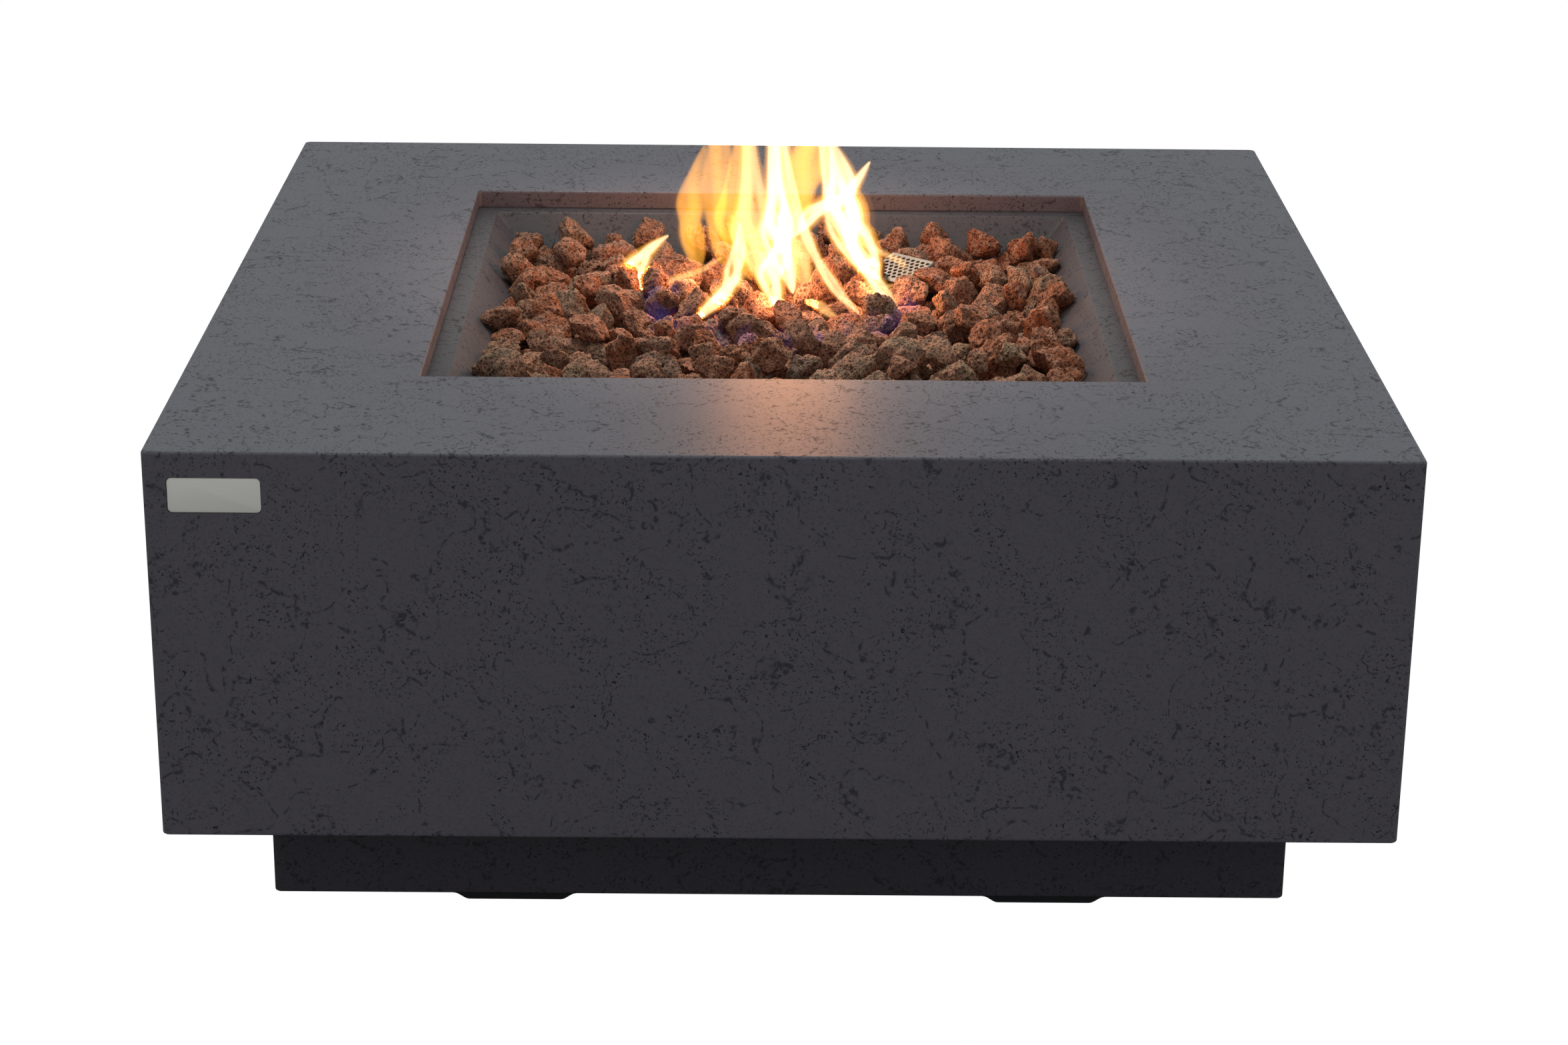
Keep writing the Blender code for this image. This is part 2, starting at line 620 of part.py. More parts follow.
def control_panel():
    """Stainless plate at the bottom of the pocket, with its screws."""
    panel = block("control_panel", (-PANEL_SHEET, -POCKET_HALF_Y + 0.0006, -POCKET_HALF_Z + 0.0006),
                  (0.0, POCKET_HALF_Y - 0.0006, POCKET_HALF_Z - 0.0006), STEEL, (PANEL_FRONT, 0.0, PANEL_Z))
    cut_hole(panel, "neck_form", 0.0095, -0.01, 0.01, (PANEL_FRONT, KNOB_Y, PANEL_Z), ALONG_X, 20)
    cut_hole(panel, "igniter_form", 0.0109, -0.01, 0.01, (PANEL_FRONT, IGNITER_Y, PANEL_Z), ALONG_X, 20)
    shank = [(0.0, -0.0095), (0.0018, -0.0095), (0.0018, GAP)]
    head = [(0.0040, GAP), (0.0040, 0.0015), (0.0030, 0.0024), (0.0, 0.0024)]
    for index, (y, z) in enumerate(panel_screw_places()):
        cut_hole(panel, f"screw_form_{index}", 0.0022, -0.01, 0.01, (PANEL_FRONT, y, z), ALONG_X, 8)
        turned(f"panel_screw_{index + 1}", shank + head, ZINC, (PANEL_FRONT, y, z), ALONG_X, 8)


def gas_valve():
    """Valve body behind the panel, with its neck, outlets and bore."""
    depth = PANEL_BACK - GAP - VALVE_BACK
    body = block("gas_valve", (-depth, -0.022, -0.020), (0.0, 0.022, 0.020), BRASS,
                 (PANEL_BACK - GAP, KNOB_Y, PANEL_Z))
    at = (PANEL_FRONT, KNOB_Y, PANEL_Z)
    combine(body, turned("valve_neck_form", rod(0.009, -0.010, 0.0025), BRASS, at, ALONG_X, 20), "UNION")
    outlets = (("main", KNOB_Y, MAIN_OUTLET_Z, 0.0070), ("jet", JET_Y, JET_OUTLET_Z, 0.0045),
               ("probe", PROBE_Y, JET_OUTLET_Z, 0.0035))
    for name, y, z, radius in outlets:
        outlet = rod(radius, -SPIGOT, 0.005)
        spigot = turned(f"{name}_outlet_form", outlet, BRASS, (VALVE_BACK, y, z), ALONG_X, 10)
        combine(body, spigot, "UNION")
    below = (SUPPLY_X, KNOB_Y, PANEL_Z - 0.020)
    combine(body, turned("inlet_spigot_form", rod(0.008, -SPIGOT, 0.005), BRASS, below, steps=10), "UNION")
    cut_hole(body, "valve_bore_form", 0.0070, -0.036, 0.01, at, ALONG_X, 16)


def knob_group():
    """Plunger that pushes in, the stem that turns in it, the knob and its bezel."""
    at = (PANEL_FRONT, KNOB_Y, PANEL_Z)
    turned("valve_plunger", sleeve(0.0037, 0.0066, -0.026, 0.0052), BRASS, at, ALONG_X, 16, ring=True)
    turned("valve_stem", rod(0.0033, -0.031, 0.0190), ZINC, at, ALONG_X, 16)
    bezel = [(0.0097, GAP), (0.027, GAP), (0.027, 0.0018), (0.0255, 0.0033), (0.0097, 0.0033)]
    turned("knob_bezel", bezel, STEEL, at, ALONG_X, 28, ring=True)
    back = 0.0033 + VALVE_TRAVEL + 0.0005
    front = back + 0.0075
    skirt = [(0.0, back), (0.0195, back), (0.0200, back + 0.001), (0.0190, front - 0.001), (0.0175, front),
             (0.0, front)]
    knob = turned("control_knob", skirt, BLACK_PLASTIC, at, ALONG_X, 28)
    low = (-0.0165, -0.0050, front - 0.0015)
    combine(knob, block("grip_form", low, (0.0165, 0.0050, 0.0248), BLACK_PLASTIC, at, ALONG_X), "UNION")
    cut_hole(knob, "knob_bore_form", 0.0037, -0.01, 0.0200, at, ALONG_X, 16)


def igniter():
    """Battery igniter: threaded housing, nut, spring, cell, screw cap and button."""
    at = (PANEL_FRONT, IGNITER_Y, PANEL_Z)
    outside = [(0.0, -0.064), (0.0105, -0.064), (0.0105, GAP)]
    flange = [(0.0145, GAP), (0.0145, 0.0023), (0.0105, 0.0023)]
    inside = [(0.0105, 0.0065), (0.0078, 0.0065), (0.0078, -0.062), (0.0, -0.062)]
    turned("igniter_body", outside + flange + inside, BLACK_PLASTIC, at, ALONG_X, 18)
    nut = sleeve(0.0108, 0.0160, -0.0075, -PANEL_SHEET - GAP)
    turned("igniter_nut", nut, BLACK_PLASTIC, at, ALONG_X, 18, ring=True)
    coil = []
    turns = 3
    per_turn = 10
    wire = 0.0005
    low = PANEL_FRONT - 0.062 + wire + GAP
    for step in range(turns * per_turn + 1):
        angle = 2.0 * math.pi * step / per_turn
        spot = (low + 0.0055 * step / (turns * per_turn), IGNITER_Y + 0.0055 * math.cos(angle),
                PANEL_Z + 0.0055 * math.sin(angle))
        coil.append(spot)
    tube("igniter_spring", coil, wire, ZINC, per_span=1)
    cell = rod(0.0071, -0.0545, -0.0055)[:3] + rod(0.0028, -0.0055, -0.0040)[1:]
    turned("battery", cell, CELL, at, ALONG_X, 16)
    cap_outside = [(0.0108, 0.0026), (0.0135, 0.0026), (0.0135, 0.0150), (0.0125, 0.0160), (0.0069, 0.0160)]
    cap_inside = [(0.0069, 0.0130), (0.0090, 0.0130), (0.0090, 0.0070), (0.0108, 0.0070)]
    turned("igniter_cap", cap_outside + cap_inside, BLACK_PLASTIC, at, ALONG_X, 20, ring=True)
    stem = [(0.0, 0.0045), (0.0040, 0.0045), (0.0040, 0.0108), (0.0084, 0.0108), (0.0084, 0.0127)]
    press = [(0.0064, 0.0127), (0.0064, 0.0195), (0.0055, 0.0205), (0.0, 0.0207)]
    turned("igniter_button", stem + press, BLACK_PLASTIC, at, ALONG_X, 18)


def leads():
    """Pilot gas tube, thermocouple lead and spark lead, from the controls to the pilot."""
    start = VALVE_BACK - SPIGOT - GAP
    jet_route = [
        (start, JET_Y, JET_OUTLET_Z),
        (0.350, JET_Y, JET_OUTLET_Z),
        (0.250, -0.040, 0.262),
        (0.160, 0.030, 0.258),
        (0.106, 0.078, 0.252),
        (0.099, 0.112, 0.262),
        pilot_spot(0.0, -0.030),
        pilot_spot(0.0, -0.022 - GAP),
    ]
    tube("pilot_tube", jet_route, 0.003, ALUMINIUM)
    probe_route = [
        (start, PROBE_Y, JET_OUTLET_Z),
        (0.350, PROBE_Y, JET_OUTLET_Z),
        (0.270, -0.005, 0.250),
        (0.185, 0.070, 0.250),
        (0.126, 0.098, 0.258),
        pilot_spot(PILOT_PITCH, -0.030),
        pilot_spot(PILOT_PITCH, -0.020 - GAP),
    ]
    tube("thermocouple_lead", probe_route, 0.0014, COPPER)
    spark_route = [
        (PANEL_FRONT - 0.064 - GAP, IGNITER_Y, PANEL_Z),
        (0.350, IGNITER_Y, PANEL_Z),
        (0.250, 0.095, 0.238),
        (0.160, 0.135, 0.242),
        (0.108, 0.132, 0.258),
        pilot_spot(-PILOT_PITCH, -0.030),
        pilot_spot(-PILOT_PITCH, -0.020 - GAP),
    ]
    tube("spark_lead", spark_route, 0.0022, SILICONE)


def gas_inlet():
    """Supply tube from the valve down to the hose connection behind the rear notch."""
    low = PANEL_Z - 0.020 - SPIGOT - GAP
    route = [
        (SUPPLY_X, KNOB_Y, low),
        (SUPPLY_X, KNOB_Y, low - 0.015),
        (0.392, -0.040, low - 0.050),
        (0.360, -0.025, 0.124),
        (0.262, 0.020, 0.112),
        (0.225, 0.110, 0.060),
        (0.150, 0.205, 0.036),
        (0.035, 0.250, INLET_Z),
        (0.0, 0.292, INLET_Z),
        (0.0, INLET_Y - GAP, INLET_Z),
    ]
    tube("inlet_tube", route, 0.006, ALUMINIUM)
    collar = [(0.0, 0.0), (0.0085, 0.0), (0.0085, 0.004), (0.0125, 0.004), (0.0125, 0.0117)]
    spigot = [(0.0080, 0.0117), (0.0080, 0.030), (0.0065, 0.034), (0.0, 0.034)]
    turned("gas_inlet_fitting", collar + spigot, BRASS, (0.0, INLET_Y, INLET_Z), ALONG_Y, 12, smooth=25.0)
    under = BLOCK_Z - GAP
    sheet = 0.002
    plate_y = INLET_Y + 0.012
    outline = [(0.300, under - sheet), (plate_y, under - sheet), (plate_y, 0.014), (plate_y + sheet, 0.014),
               (plate_y + sheet, under), (0.300, under)]
    bracket = prism("inlet_bracket", outline, -0.022, 0.022, ZINC)
    bracket.rotation_euler = (math.pi / 2.0, 0.0, math.pi / 2.0)
    cut_hole(bracket, "fitting_form", 0.0084, 0.0, 0.03, (0.0, INLET_Y, INLET_Z), ALONG_Y, 16)


def heat_shield():
    """Bent sheet over the valve, fixed to the back of the control boss."""
    face = BOSS_X - GAP
    low = UNDER_Z - 0.0055
    outline = [(0.250, low), (face, low), (face, low + 0.022), (face - 0.0012, low + 0.022),
               (face - 0.0012, low + 0.0012), (0.250, low + 0.0012)]
    shield = prism("heat_shield", outline, -0.100, 0.100, ZINC)
    shield.rotation_euler = (math.pi / 2.0, 0.0, 0.0)


table_shell()
fire_basin()
plinth_frame()
base_deck()
foot_pads()
deck_brackets()
basin_cleats()
badge_plate()
burner_ring()
burner_legs()
burner_feed()
lava_rock_bed()
pilot_hood()
pilot_parts()
control_panel()
gas_valve()
knob_group()
igniter()
leads()
gas_inlet()
heat_shield()
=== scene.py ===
import json
import math
import random

import bmesh
import bpy
from mathutils import Matrix, Vector, noise

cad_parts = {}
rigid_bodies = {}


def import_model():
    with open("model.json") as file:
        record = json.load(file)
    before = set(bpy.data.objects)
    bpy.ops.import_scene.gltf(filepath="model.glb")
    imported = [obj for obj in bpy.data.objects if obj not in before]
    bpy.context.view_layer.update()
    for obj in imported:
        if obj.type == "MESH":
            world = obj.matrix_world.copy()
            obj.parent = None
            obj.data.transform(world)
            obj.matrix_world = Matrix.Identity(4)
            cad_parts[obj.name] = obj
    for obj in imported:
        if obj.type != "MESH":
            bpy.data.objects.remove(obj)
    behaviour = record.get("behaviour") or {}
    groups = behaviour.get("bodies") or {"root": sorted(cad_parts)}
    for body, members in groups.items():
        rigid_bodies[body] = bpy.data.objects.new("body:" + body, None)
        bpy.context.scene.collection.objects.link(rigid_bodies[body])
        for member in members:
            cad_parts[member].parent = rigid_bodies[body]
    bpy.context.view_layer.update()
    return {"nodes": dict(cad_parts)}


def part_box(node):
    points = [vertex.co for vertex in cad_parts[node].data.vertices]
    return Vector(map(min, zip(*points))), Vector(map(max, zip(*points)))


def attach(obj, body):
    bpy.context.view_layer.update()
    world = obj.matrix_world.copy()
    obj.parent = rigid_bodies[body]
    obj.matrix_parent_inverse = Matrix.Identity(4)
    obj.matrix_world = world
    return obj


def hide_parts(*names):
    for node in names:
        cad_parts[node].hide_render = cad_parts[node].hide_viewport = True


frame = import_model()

nodes = frame["nodes"]


# ---- Camera -----------------------------------------------------------------------
# Eye level of someone standing a little over two metres in front of the table, who
# looks down on it through a short telephoto lens.
eye = Vector((-0.0184, -2.7151, 1.1714))
look_down = 0.3540
look_aside = 0.0081
lean = 0.0107

ahead = Vector((math.sin(look_aside) * math.cos(look_down), math.cos(look_aside) * math.cos(look_down),
                -math.sin(look_down)))
level = Vector((math.cos(look_aside), -math.sin(look_aside), 0.0))
above = level.cross(ahead)
side = level * math.cos(lean) + above * math.sin(lean)
upright = above * math.cos(lean) - level * math.sin(lean)
lens = bpy.data.cameras.new("front_view")
lens.lens = 77.40
lens.sensor_width = 36.0


def stand(name, data):
    """Put a new object into the scene."""
    made = bpy.data.objects.new(name, data)
    bpy.context.scene.collection.objects.link(made)
    return made


camera = stand("front_view", lens)
camera.matrix_world = Matrix.Translation(eye) @ Matrix((side, upright, -ahead)).transposed().to_4x4()
bpy.context.scene.camera = camera
bpy.context.scene.view_settings.view_transform = "Standard"


# ---- Cast table -------------------------------------------------------------------
# One hollow casting of glass-fibre concrete, 20 mm thick, poured upside down in a
# mould and sealed to a satin. Fibres and air pits leave short dark marks that wander
# over every face; their dark colour is partly painted shade in the pits. A boss inside
# the right wall holds the pocket for the controls.
shell_low, shell_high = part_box("table_shell")
half = shell_high.x
top = shell_high.z
block_foot = shell_low.z
panel_low, panel_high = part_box("control_panel")
badge_low, badge_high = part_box("badge_plate")
wall = 0.020
slab = 0.015
arris = 0.002
corner_radius = 0.0045
opening_half = 0.276
opening_corner = 0.003
pocket_half_y = 0.105
pocket_half_z = 0.050
pocket_corner = 0.004
plate_seat = 0.0003
boss_inside = 0.412
boss_half_y = 0.130
boss_half_z = 0.075
window_half_y = 0.088
window_half_z = 0.036
inner_corner = 0.010


def middle_of(name):
    """The middle of a node's box."""
    low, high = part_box(name)
    return (low + high) / 2.0


def rounded(half_x, half_y, corner, steps=6):
    """Outline of a rectangle with rounded corners, anticlockwise."""
    outline = []
    for quarter, (x_sign, y_sign) in enumerate(((1, 1), (-1, 1), (-1, -1), (1, -1))):
        for step in range(steps + 1):
            angle = (quarter + step / steps) * math.pi / 2.0
            x = x_sign * (half_x - corner) + corner * math.cos(angle)
            y = y_sign * (half_y - corner) + corner * math.sin(angle)
            outline.append((x, y))
    return outline


def arc(across, height, radius, first, last, steps=5):
    """Points round an arris, from one angle to another in degrees."""
    turns = [math.radians(first + (last - first) * step / steps) for step in range(steps + 1)]
    return [(across + radius * math.cos(turn), height + radius * math.sin(turn)) for turn in turns]


def eased(across, height, radius, first, last, corner):
    """Levels of a casting round an arris, as (half width, corner radius, height)."""
    return [(reach, corner, z) for reach, z in arc(across, height, radius, first, last)]


def wrap(bm, name, smooth_angle=None):
    """Turn a closed bmesh into an object with its faces pointing out."""
    bmesh.ops.recalc_face_normals(bm, faces=bm.faces)
    mesh = bpy.data.meshes.new(name)
    bm.to_mesh(mesh)
    bm.free()
    if smooth_angle:
        mesh.shade_smooth()
        mesh.set_sharp_from_angle(angle=math.radians(smooth_angle))
    return stand(name, mesh)


def loft(name, rings, closed=False, smooth_angle=None):
    """Join rings of points into a skin: a closed loop of rings, or one capped at both ends."""
    bm = bmesh.new()
    loops = [[bm.verts.new(point) for point in ring] for ring in rings]
    pairs = list(zip(loops, loops[1:]))
    if closed:
        pairs.append((loops[-1], loops[0]))
    else:
        bm.faces.new(loops[0])
        bm.faces.new(loops[-1])
    for near, far in pairs:
        for i in range(len(near)):
            j = (i + 1) % len(near)
            bm.faces.new((near[i], near[j], far[j], far[i]))
    return wrap(bm, name, smooth_angle)


def casting(name, levels, closed=True):
    """Square casting from outlines given as (half width, corner radius, height)."""
    rings = [[(x, y, z) for x, y in rounded(across, across, corner)] for across, corner, z in levels]
    return loft(name, rings, closed)


def side_form(name, levels, middle):
    """Solid with rounded corners along X, from (x, half y, half z, corner) round a middle."""
    rings = []
    for x, half_y, half_z, corner in levels:
        rings.append([(x, middle.y + y, middle.z + z) for y, z in rounded(half_y, half_z, corner)])
    return loft(name, rings)


def front_form(name, levels, middle, smooth_angle=None):
    """The same along Y, from (y, half x, half z, corner) round a middle."""
    rings = []
    for y, half_x, half_z, corner in levels:
        rings.append([(middle.x + x, y, middle.z + z) for x, z in rounded(half_x, half_z, corner)])
    return loft(name, rings, smooth_angle=smooth_angle)


def carve(piece, cutter, operation="DIFFERENCE"):
    """Cut a piece with another shape, or join that shape on."""
    change = piece.modifiers.new(cutter.name, "BOOLEAN")
    change.operation = operation
    change.object = cutter


def settle(piece):
    """Keep what a piece's modifiers make as its plain mesh, and drop its cutters."""
    bpy.context.view_layer.update()
    seen = piece.evaluated_get(bpy.context.evaluated_depsgraph_get())
    mesh = bpy.data.meshes.new_from_object(seen)
    helpers = {change.object for change in piece.modifiers if change.type == "BOOLEAN"}
    piece.modifiers.clear()
    piece.data = mesh
    for helper in helpers:
        bpy.data.objects.remove(helper)
    return piece


def paint(thing, material):
    """Give a whole object one material."""
    thing.data.materials.clear()
    thing.data.materials.append(material)


def paint_nodes(material, *names):
    """Give CAD nodes that keep their shape a material."""
    for name in names:
        paint(nodes[name], material)


def fit_piece(piece, body, slot, material, *stands_for):
    """Paint a finished piece and hand it to its body and the nodes it replaces; the slot is not used."""
    paint(piece, material)
    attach(piece, body)
    if stands_for:
        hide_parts(*stands_for)


panel_middle = middle_of("control_panel")
badge_middle = middle_of("badge_plate")
levels = eased(half - arris, block_foot + arris, arris, -90, 0, corner_radius)
levels += eased(half - arris, top - arris, arris, 0, 90, corner_radius)
levels += eased(opening_half + arris, top - arris, arris, 90, 180, opening_corner)
levels.append((opening_half, opening_corner, top - slab))
levels.append((half - wall, inner_corner, top - slab))
levels.append((half - wall, inner_corner, block_foot))
cast_table = casting("cast_table", levels)

boss_levels = [(x, boss_half_y, boss_half_z, 0.006) for x in (boss_inside, half - wall / 2.0)]
carve(cast_table, side_form("control_boss", boss_levels, panel_middle), "UNION")
pocket = [(panel_low.x - plate_seat, pocket_half_y, pocket_half_z, pocket_corner)]
for out, x in arc(arris, half - arris, arris, 180, 90):
    pocket.append((x, pocket_half_y + out, pocket_half_z + out, pocket_corner + out))
pocket.append((half + 0.010, pocket_half_y + arris, pocket_half_z + arris, pocket_corner + arris))
carve(cast_table, side_form("pocket_form", pocket, panel_middle))
window = [(x, window_half_y, window_half_z, 0.003) for x in (boss_inside - 0.012, half)]
carve(cast_table, side_form("window_form", window, panel_middle))

badge_half_x = (badge_high.x - badge_low.x) / 2.0
badge_half_z = (badge_high.z - badge_low.z) / 2.0
badge_corner = 0.0035
recess_back = -half + 0.0018
recess_room = 0.0004
recess = [(y, badge_half_x + recess_room, badge_half_z + recess_room, badge_corner)
          for y in (-half - 0.010, recess_back)]
carve(cast_table, front_form("badge_form", recess, badge_middle))
settle(cast_table)


class Wire:
    """One value in a node tree; arithmetic on it adds Math nodes."""

    def __init__(self, board, socket):
        self.board = board
        self.socket = socket

    def combine(self, operation, first, second):
        return self.board.node("ShaderNodeMath", {"operation": operation}, {0: first, 1: second})

    def other(self, name):
        """Another output of the node that this wire comes from."""
        return Wire(self.board, self.socket.node.outputs[name])

    def __add__(self, other):
        return self.combine("ADD", self, other)

    def __sub__(self, other):
        return self.combine("SUBTRACT", self, other)

    def __rsub__(self, other):
        return self.combine("SUBTRACT", other, self)

    def __mul__(self, other):
        return self.combine("MULTIPLY", self, other)

    def __truediv__(self, other):
        return self.combine("DIVIDE", self, other)

    def __or__(self, other):
        return self.combine("MAXIMUM", self, other)

    def __abs__(self):
        return self.combine("ABSOLUTE", self, 0.0)

    __radd__ = __add__
    __rmul__ = __mul__


class Board:
    """A node tree that is built one node at a time."""

    def __init__(self, tree):
        self.tree = tree

    def node(self, kind, settings, sockets, output=0):
        """Add a node: its settings first, then values or links for its sockets."""
        made = self.tree.nodes.new(kind)
        for setting, value in settings.items():
            setattr(made, setting, value)
        for key, value in sockets.items():
            self.feed(made.inputs[key], value)
        return Wire(self, made.outputs[output])

    def feed(self, socket, value):
        """Link a wire to a socket, or set the socket's own value; a color gets its alpha here."""
        if isinstance(value, Wire):
            self.tree.links.new(value.socket, socket)
        else:
            socket.default_value = (*value, 1.0) if socket.type == "RGBA" else value


class Finish(Board):
    """A material under way on one Principled shader, in Object coordinates."""

    def __init__(self, name, fixed):
        self.material = bpy.data.materials.new(name)
        self.material.use_nodes = True
        super().__init__(self.material.node_tree)
        self.shader = self.tree.nodes["Principled BSDF"]
        for socket, value in fixed.items():
            self.feed(self.shader.inputs[socket], value)
        self.where = self.node("ShaderNodeTexCoord", {}, {}, "Object")

    def noise(self, scale, detail=2.0, distortion=0.0, where=None):
        """Soft noise from 0 to 1, with its features 1 / scale metres apart."""
        sockets = {"Vector": where or self.where, "Scale": scale, "Detail": detail, "Distortion": distortion}
        return self.node("ShaderNodeTexNoise", {}, sockets)

    def cells(self, scale, where=None):
        """Distance to the nearest of a scatter of points, 1 / scale metres apart."""
        sockets = {"Vector": where or self.where, "Scale": scale}
        return self.node("ShaderNodeTexVoronoi", {}, sockets, "Distance")

    def fade(self, value, low, high):
        """Rise smoothly from 0 at low to 1 at high."""
        sockets = {"Value": value, "From Min": low, "From Max": high}
        return self.node("ShaderNodeMapRange", {"interpolation_type": "SMOOTHSTEP"}, sockets)

    def blend(self, share, first, second):
        """Go from the first colour to the second as share goes from 0 to 1."""
        return self.node("ShaderNodeMix", {"data_type": "RGBA"}, {0: share, 6: first, 7: second}, 2)

    def stretch(self, scale):
        """Object coordinates, drawn out along an axis."""
        return self.node("ShaderNodeMapping", {}, {"Vector": self.where, "Scale": scale})

    def vector(self, operation, first, second, output="Vector"):
        """Vector Math on two places or directions."""
        return self.node("ShaderNodeVectorMath", {"operation": operation}, {0: first, 1: second}, output)

    def warp(self, scale, reach):
        """Object coordinates that wander by about a quarter of the reach."""
        drift = self.vector("SUBTRACT", self.noise(scale).other("Color"), (0.5, 0.5, 0.5))
        return self.vector("ADD", self.where, self.vector("MULTIPLY", drift, (reach, reach, reach)))

    def dashes(self, where, scale, long, thick, lay=(1.0, 1.0, 1.0)):
        """Short soft-edged dashes, one to a cell, each with its own direction."""
        cell = self.node("ShaderNodeTexVoronoi", {}, {"Vector": where, "Scale": scale}, "Color")
        off = self.vector("SUBTRACT", where, cell.other("Position"))
        aim = self.vector("MULTIPLY", self.vector("SUBTRACT", cell, (0.5, 0.5, 0.5)), lay)
        along = self.vector("DOT_PRODUCT", off, self.vector("NORMALIZE", aim, (0.0, 0.0, 0.0)), "Value")
        reach = self.vector("DOT_PRODUCT", off, off, "Value")
        across = reach - along * along
        size = across * (1.0 / thick ** 2) + along * along * (1.0 / long ** 2)
        return 1.0 - self.fade(size, 0.25, 1.0)

    def bump(self, height, depth):
        """Relief of the given depth in metres."""
        return self.node("ShaderNodeBump", {}, {"Height": height, "Distance": depth, "Strength": 1.0})

    def use(self, color, roughness, height=None, depth=0.0, **more):
        """Feed the shader its color, roughness and relief, and return the finished material."""
        sockets = {"Base Color": color, "Roughness": roughness, **more}
        if height is not None:
            sockets["Normal"] = self.bump(height, depth)
        for key, value in sockets.items():
            self.feed(self.shader.inputs[key], value)
        return self.material


def shade(color, share):
    """A colour made lighter or darker."""
    return (color[0] * share, color[1] * share, color[2] * share)


def concrete(name, color, satin, seal, mark_and_pit_shade_share):
    """Cast concrete under a film of sealer, with short fibre and pit marks that break the film; their dark
    colour is partly painted shade in the pits.
    """
    cast = Finish(name, {"Specular IOR Level": 0.18, "Coat Roughness": 0.36, "Coat IOR": 1.5})
    cloud = cast.noise(4.0, 3.0)
    mottle = cast.noise(130.0, 3.0)
    grain = cast.noise(900.0, 2.0)
    tone = cast.blend(0.30 * cloud + 0.45 * mottle + 0.25 * grain, shade(color, 0.80), shade(color, 1.20))
    chains = 1.0 - cast.fade(abs(cast.noise(13.0, 2.0, 0.8) - 0.5), 0.02, 0.11)
    drifts = cast.fade(cast.noise(22.0, 2.0), 0.50, 0.66)
    crowd = chains | drifts
    level_lay = (1.5, 1.5, 0.9)
    bent = cast.warp(220.0, 0.009)
    depth = cast.fade(cast.noise(75.0, 2.0), 0.30, 0.62)
    fibres = depth * cast.dashes(bent, 165.0, 0.0033, 0.0010, level_lay)
    strays = cast.dashes(bent, 255.0, 0.0020, 0.00085, level_lay)
    specks = cast.dashes(bent, 380.0, 0.0010, 0.0008)
    broken = cast.fade(cast.noise(240.0, 2.0), 0.44, 0.62)
    trails = (1.0 - cast.fade(abs(cast.noise(21.0, 2.0, 0.5) - 0.5), 0.004, 0.022)) * broken
    marks_and_pit_shade = (crowd * fibres) | (0.70 * trails | (strays * (0.22 + 0.65 * crowd) | 0.32 * specks))
    # The marks take the colour down to a tenth: partly their own dark colour, partly painted shade in the
    # pits.
    marked_with_pit_shade = cast.blend(marks_and_pit_shade * mark_and_pit_shade_share, tone, shade(color, 0.10))
    roughness = satin + 0.12 * (mottle - 0.5) + 0.10 * marks_and_pit_shade
    sealer = {"Coat Weight": seal * (1.0 - marks_and_pit_shade)}
    return cast.use(marked_with_pit_shade, roughness, 0.25 * grain - marks_and_pit_shade, 0.00012, **sealer)


charcoal = concrete("charcoal_concrete", (0.132, 0.1135, 0.133), 0.55, 0.47, 0.90)
fit_piece(cast_table, "table", "charcoal_concrete", charcoal, "table_shell")


# ---- Cast basin -------------------------------------------------------------------
# A tray of the same concrete, hung under the opening by its flange: a narrow level
# ledge, four walls that slope at 45 degrees, and a flat floor with the burner's hole,
# a slot for the pilot and four weep holes.
basin_low, basin_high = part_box("fire_basin")
ledge = basin_high.z
flange_half = basin_high.x
basin_wall = 0.015
ledge_half = opening_half - 0.017
basin_floor = top - 0.080
floor_half = ledge_half - (ledge - basin_floor)
spread = basin_wall * math.sqrt(2.0)
ledge_arris = 0.003
tangent = ledge_arris * math.tan(math.pi / 8.0)
flange_corner = 0.006
cut_past = 0.010
nipple_hole = 0.0112
weep_hole = 0.005
weep_reach = 0.225
pilot_slot = (0.018, 0.010, 0.003)
pilot_spot = middle_of("pilot_burner")
pilot_turn = math.radians(-41.0)

levels = [(floor_half, 0.003, basin_floor)]
levels += eased(ledge_half + tangent, ledge - ledge_arris, ledge_arris, 135, 90, 0.004)
levels += eased(flange_half - arris, ledge - arris, arris, 90, 0, flange_corner)
levels.append((flange_half, flange_corner, ledge - basin_wall))
levels.append((ledge_half - basin_wall + spread, flange_corner, ledge - basin_wall))
levels.append((floor_half - basin_wall + spread, flange_corner, basin_low.z))
cast_basin = casting("cast_basin", levels, closed=False)


def circle(radius, steps=24):
    """Points round the origin."""
    angles = [2.0 * math.pi * step / steps for step in range(steps)]
    return [(radius * math.cos(angle), radius * math.sin(angle)) for angle in angles]


def pierce(name, outline, at):
    """Cut an outline round a spot right through the basin's floor."""
    ends = (basin_low.z - cut_past, basin_floor + cut_past)
    carve(cast_basin, loft(name, [[(at[0] + x, at[1] + y, z) for x, y in outline] for z in ends]))


pierce("nipple_form", circle(nipple_hole), (0.0, 0.0))
for index in range(4):
    angle = (index + 0.5) * math.pi / 2.0
    weep_spot = (weep_reach * math.cos(angle), weep_reach * math.sin(angle))
    pierce(f"weep_form_{index}", circle(weep_hole), weep_spot)
swing = Matrix.Rotation(pilot_turn, 2)
pierce("pilot_form", [swing @ Vector(spot) for spot in rounded(*pilot_slot)], pilot_spot)
settle(cast_basin)
# The basin's concrete is darker than the table's: painted shade for the recess under the slab. Its thinner
# seal and rougher finish are its own.
basin_concrete_painted_shade = concrete("basin_concrete", (0.084, 0.072, 0.078), 0.70, 0.30, 0.75)
fit_piece(cast_basin, "table", "charcoal_concrete", basin_concrete_painted_shade, "fire_basin")
